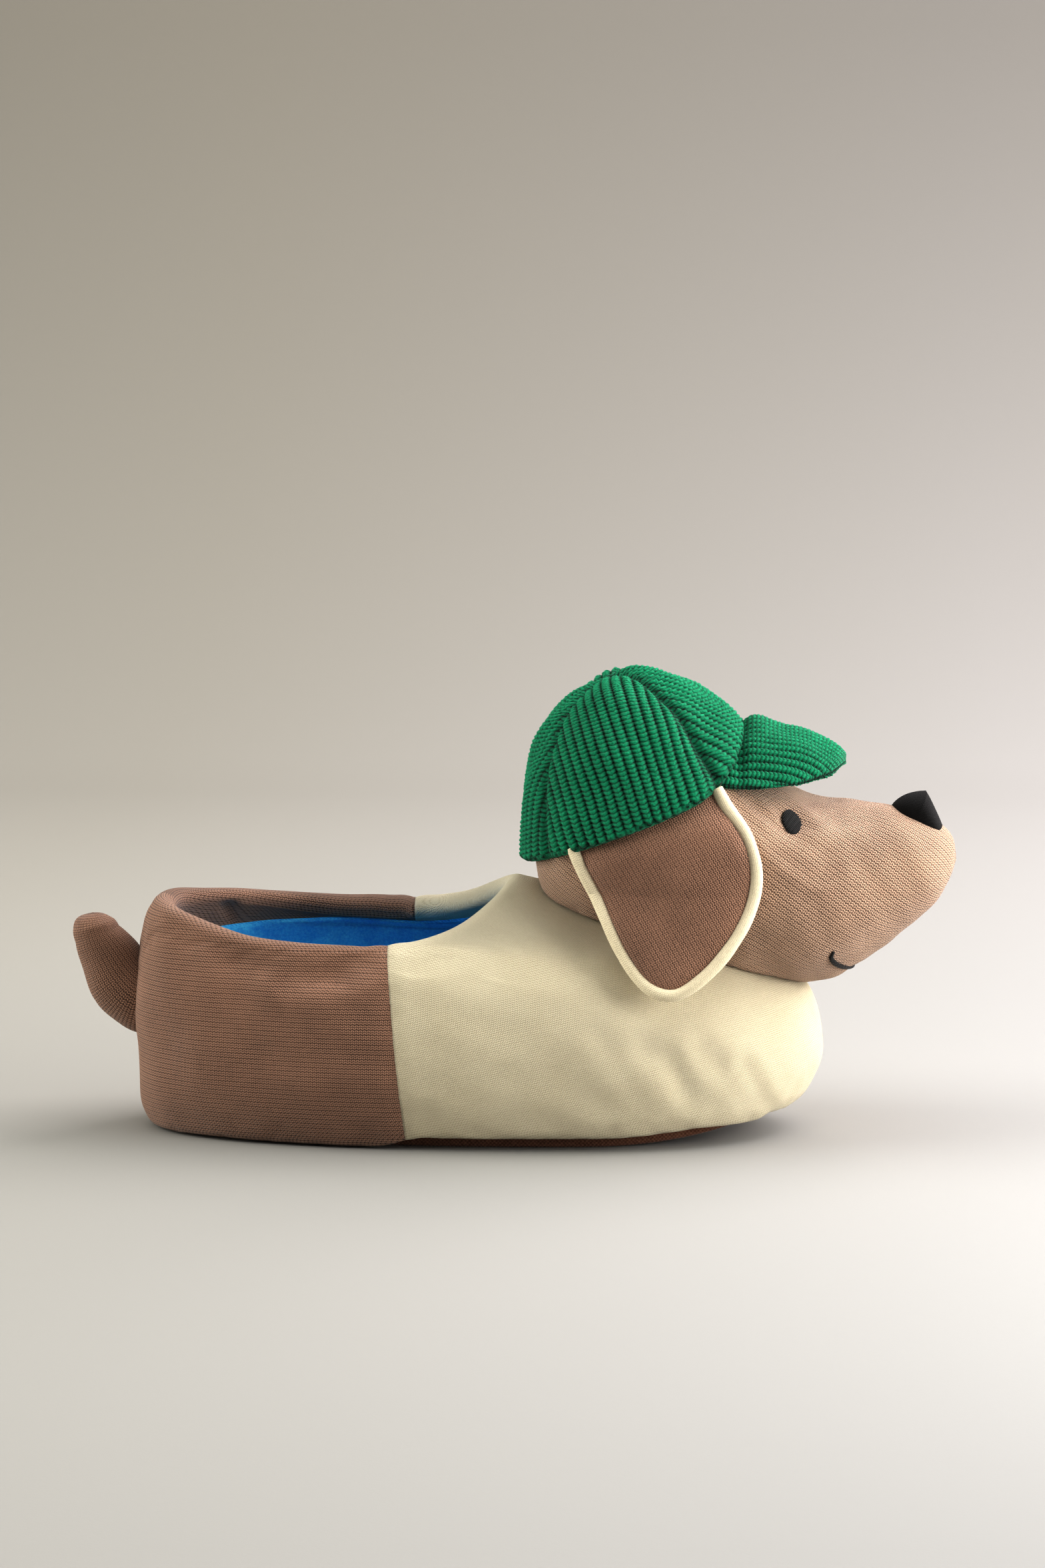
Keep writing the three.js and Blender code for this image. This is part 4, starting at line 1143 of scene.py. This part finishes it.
def addEar(side, name, materials):
    t = np.linspace(0, len(ear["along"]), 240, endpoint=False)[None]
    rim = earEdge(t, ear["binding"] * 0.8)
    middle = np.array([earRear + 0.5 * ear["width"], earTip + 0.6 * ear["length"]])
    shares = np.concatenate([np.linspace(0.04, 0.8, 26), np.linspace(0.8, 1, 12)[1:]])
    both = np.concatenate([shares, shares[::-1][1:]])[:, None]
    face = np.concatenate([-np.ones(len(shares) - 1), [0], np.ones(len(shares) - 1)])[:, None]
    plan = middle + (rim - middle) * both[..., None]
    x, z = plan[..., 0], plan[..., 1]
    below = underBand(x, z, side)
    thick = ear["thickness"] / 2 * (1 - both ** 7) ** 0.5 * (0.35 + 0.65 * ease(-1, 9, below))
    tuck = 1.9 * (1 - ease(-2, 9, below))
    swell = swells(np.stack([x, x * 0, z], -1), ear["swells"]) * ease(0, 10, below)
    y = earSide(x, z) - tuck + face * thick + swell
    z = z + np.minimum(0, below + ear["hidden"])  # the flap ends this far up under the band
    points = np.stack([x, headShift + side * y, z], -1)
    slots = (np.arange(len(both)) < len(shares) - 1).astype(int)
    cloth = closed(np.stack([x, z], -1))
    return addPiece(name, points, materials, ends=endMiddles(points), cloth=cloth, slots=slots)


def addBinding(side, name, material):
    t = np.linspace(0, ear["freeEdge"], 240)[:, None]
    plan = earEdge(t, ear["binding"] / 2)
    x, z = plan[..., 0], plan[..., 1]
    below = underBand(x, z, side)
    keep = below[:, 0] > -0.8
    x, z, below = x[keep], z[keep], below[keep]
    tuck = 0.5 * (1 - ease(-1, 5, below))
    centre = np.stack([x, headShift + side * (earSide(x, z) - tuck), z], -1)
    forward = unit(np.gradient(centre, axis=0))
    across = unit(np.array([0, 1.0, 0]) - forward * forward[..., 1:2])
    beside = np.cross(forward, across)
    turn = turns(28)[..., None]
    radius = ear["binding"] / 2 * (0.93 + 0.07 * ease(-1, 5, below))[..., None]
    radius = radius * (1 + swells(centre, ear["bindingSwells"])[..., None])
    points = centre + radius * (across * np.cos(turn) + beside * np.sin(turn))
    return addPiece(name, points, [material], ends=[centre[0, 0], centre[-1, 0]])


earKnit = plainKnit("ear knit", shades["brownLight"], shades["brownDark"], knit, 60, 0.65, 0.3)
# The binding and the ear's inner face use the lighter cream, which carries painted light.
creamKnit = plainKnit("cream knit", shades["bindingLitCream"], shades["creamDark"], creamKnitSizes, 0, 0.5, 0.08)
for side, word in ((-1, "right"), (1, "left")):
    flap = addEar(side, "ear-" + word, [earKnit, creamKnit])
    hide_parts("ear_" + word)
    tube = addBinding(side, "ear-binding-" + word, creamKnit)
    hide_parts("ear_binding_" + word)


print("stage: face")

# Sections across the nose, as shares of its length from the rear, its height and its half width.
nose = dict(
    length=17.2, width=21, height=8.7, tilt=24.8, rootAlong=0.845, rootUp=0.575, deep=0.4,
    roundness=2.3, ridgeRow=5, ridgeWidth=0.9,
    along=[0.0, 0.02, 0.08, 0.17, 0.29, 0.42, 0.56, 0.72, 0.86, 0.95, 1.0, 1.02],
    rise=[0.02, 0.22, 0.45, 0.66, 0.85, 1.0, 0.80, 0.54, 0.30, 0.13, 0.02, -0.1],
    side=[0.2, 0.40, 0.62, 0.80, 0.92, 0.98, 1.0, 0.97, 0.88, 0.72, 0.52, 0.2],
)


def addNose(material):
    # Ovals across the nose, laid along a line that tilts down the muzzle. Its top has a sharp ridge.
    ridgeRow, lastRow = nose["ridgeRow"], len(nose["along"]) - 1
    row = np.concatenate([np.linspace(0, ridgeRow, 44), np.linspace(ridgeRow, lastRow, 50)[1:]])[:, None]
    angle = turns(110)
    straight = [np.interp(row, np.arange(lastRow + 1), nose[key]) for key in ("along", "rise", "side")]
    curved = [along(nose[key], row) for key in ("along", "rise", "side")]
    sharp = np.exp(-((row - ridgeRow) / nose["ridgeWidth"]) ** 2)
    x, rise, side = (c * (1 - sharp) + f * sharp for f, c in zip(straight, curved))
    low = -nose["deep"] * nose["height"]
    top = rise * nose["height"]
    power = 2 / nose["roundness"]
    y = side * nose["width"] / 2 * signedPower(np.cos(angle), power)
    z = (top + low) / 2 + (top - low) / 2 * signedPower(np.sin(angle), power)
    x = x * nose["length"] * np.ones_like(z)
    tilt = math.radians(nose["tilt"])
    rootX = head["back"] + nose["rootAlong"] * head["length"]
    rootZ = head["rise"] + nose["rootUp"] * head["height"]
    points = np.stack([rootX + x * math.cos(tilt) + z * math.sin(tilt), headShift + y,
                       rootZ - x * math.sin(tilt) + z * math.cos(tilt)], -1)
    return addPiece("nose-pad", points, [material], ends=endMiddles(points))


blackKnit = plainKnit(
    "black knit", shades["blackLight"], shades["blackDark"], blackKnitSizes, 40, 0.7, 0.25, sheen=0.04)
nosePiece = addNose(blackKnit)
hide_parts("nose")


def addEye(side, name, material):
    angle = turns(90)
    shares = np.linspace(0.04, 1, 24)[:, None]
    a = head["eyeLong"] / 2 * np.cos(angle) * shares
    ragged = 1 + 0.16 * np.sin(a * 2 * math.pi / 0.72 + 0.8 * np.sign(np.sin(angle))) * ease(0.5, 1, shares)
    b = head["eyeWide"] / 2 * np.sin(angle) * shares * ragged
    turn = math.radians(90 + head["eyeTurn"])
    x = eyeX + a * math.cos(turn) - b * math.sin(turn)
    z = eyeZ + a * math.sin(turn) + b * math.cos(turn)
    sunk = 1.1
    lift = 0.55 * (1 - shares ** 3) - sunk + 0.16 * np.abs(np.sin(a * math.pi / 0.62 + b)) * (1 - shares ** 6)
    outer = np.stack([x, headShift + side * (headSide(x, z) + lift), z], -1)
    under = np.stack([x, headShift + side * (headSide(x, z) - sunk - 1.0), z], -1)[::-6]
    points = np.concatenate([outer, under])
    cloth = np.stack([b, a], -1)
    cloth = closed(np.concatenate([cloth, cloth[::-6]]))
    return addPiece(name, points, [material], ends=endMiddles(points), cloth=cloth)


thread = satinStitch("black thread", 12)
for side, word in ((-1, "right"), (1, "left")):
    eyePiece = addEye(side, "eye-" + word, thread)
    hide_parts("eye_" + word)

# Half of the mouth from its middle to one end: shares of the head's length, and the turn round the muzzle.
mouth = dict(
    thread=1.5,
    along=[0.756, 0.755, 0.745, 0.726, 0.708, 0.702, 0.707],
    turn=[0, 11, 22, 34, 45, 51, 56],
)


def addMouth(material):
    place = np.linspace(-6, 6, 240)[:, None]
    x = head["back"] + along(mouth["along"], np.abs(place)) * head["length"]
    turn = np.radians(np.sign(place) * along(mouth["turn"], np.abs(place)) - 90)
    top, bottom, side = sectionAt(x)
    power = 2 / head["fullness"]
    y = side * signedPower(np.cos(turn), power)
    z = (top - bottom) / 2 * signedPower(np.sin(turn), power)
    line = np.stack([x, headShift + y, (top + bottom) / 2 + z], -1)
    out = unit(np.stack([0.25 * np.hypot(y, z), y, z], -1))
    forward = unit(np.gradient(line, axis=0))
    beside = unit(np.cross(forward, out))
    angle = turns(16)[..., None]
    thick = mouth["thread"] / 2 * (1 - 0.55 * np.abs(place / 6) ** 5) * (1 + 0.1 * np.sin(place * 21))
    centre = line + out * 0.1
    points = centre + thick[..., None] * (out * np.cos(angle) * 0.75 + beside * np.sin(angle))
    return addPiece("mouth-stitches", points, [material], ends=[centre[0, 0], centre[-1, 0]])


mouthPiece = addMouth(satinStitch("mouth thread", 90))
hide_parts("mouth")


print("stage: tail")

tail = dict(
    length=36, width=13, rootX=-97, rootZ=40.7, tipStart=4.2, swells=[(0.35, 14, 41)],
    back=[-0.194, 0.083, 0.236, 0.347, 0.425, 0.461, 0.472],
    up=[-0.078, -0.064, 0.061, 0.242, 0.394, 0.506, 0.590],
    thick=[1.77, 1.77, 1.58, 1.35, 1.12, 0.81, 0.40],
)


def addTail(material):
    tipStart, lastRow = tail["tipStart"], len(tail["back"]) - 1
    tipRun = lastRow - tipStart
    tipRows = tipStart + tipRun * np.sin(np.linspace(0, math.pi / 2, 34))[1:]
    rows = np.concatenate([np.linspace(0.5, tipStart, 56), tipRows])[:, None]

    def centreAt(row):
        x = tail["rootX"] - along(tail["back"], row) * tail["length"]
        z = tail["rootZ"] + along(tail["up"], row) * tail["length"]
        return np.stack([x, np.zeros_like(x), z], -1)

    middle = centreAt(rows)
    forward = unit(centreAt(np.minimum(lastRow, rows + 0.05)) - centreAt(rows - 0.05))
    beside = np.cross(forward, np.array([0, 1.0, 0]))
    tip = np.maximum(0, rows - tipStart) / tipRun
    thick = along(tail["thick"], np.minimum(rows, tipStart)) * np.sqrt(1 - 0.985 * tip ** 2)
    thick = thick[..., None] * tail["width"] / 2
    broad = np.minimum(thick, tail["width"] / 2)
    turn = turns(110)[..., None]
    points = middle + np.array([0, 1.0, 0]) * broad * np.cos(turn) + beside * thick * np.sin(turn)
    points = points + unit(points - middle) * swells(points, tail["swells"])[..., None]
    ends = [centreAt(np.array([0.5]))[0], centreAt(np.array([float(lastRow)]))[0] + [0, 0, 0.3]]
    girth = np.linspace(0, 2 * math.pi, 111)[None] * tail["width"] * 0.68
    cloth = np.stack(np.broadcast_arrays(girth, pathLength(middle, 0)), -1)
    return addPiece("tail-stub", points, [material], ends=ends, cloth=cloth)


tailPiece = addTail(plainKnit("tail knit", shades["brownLight"], shades["brownDark"], knit, 90, 0.8, 0.3))
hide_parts("tail")

print("stage: done")
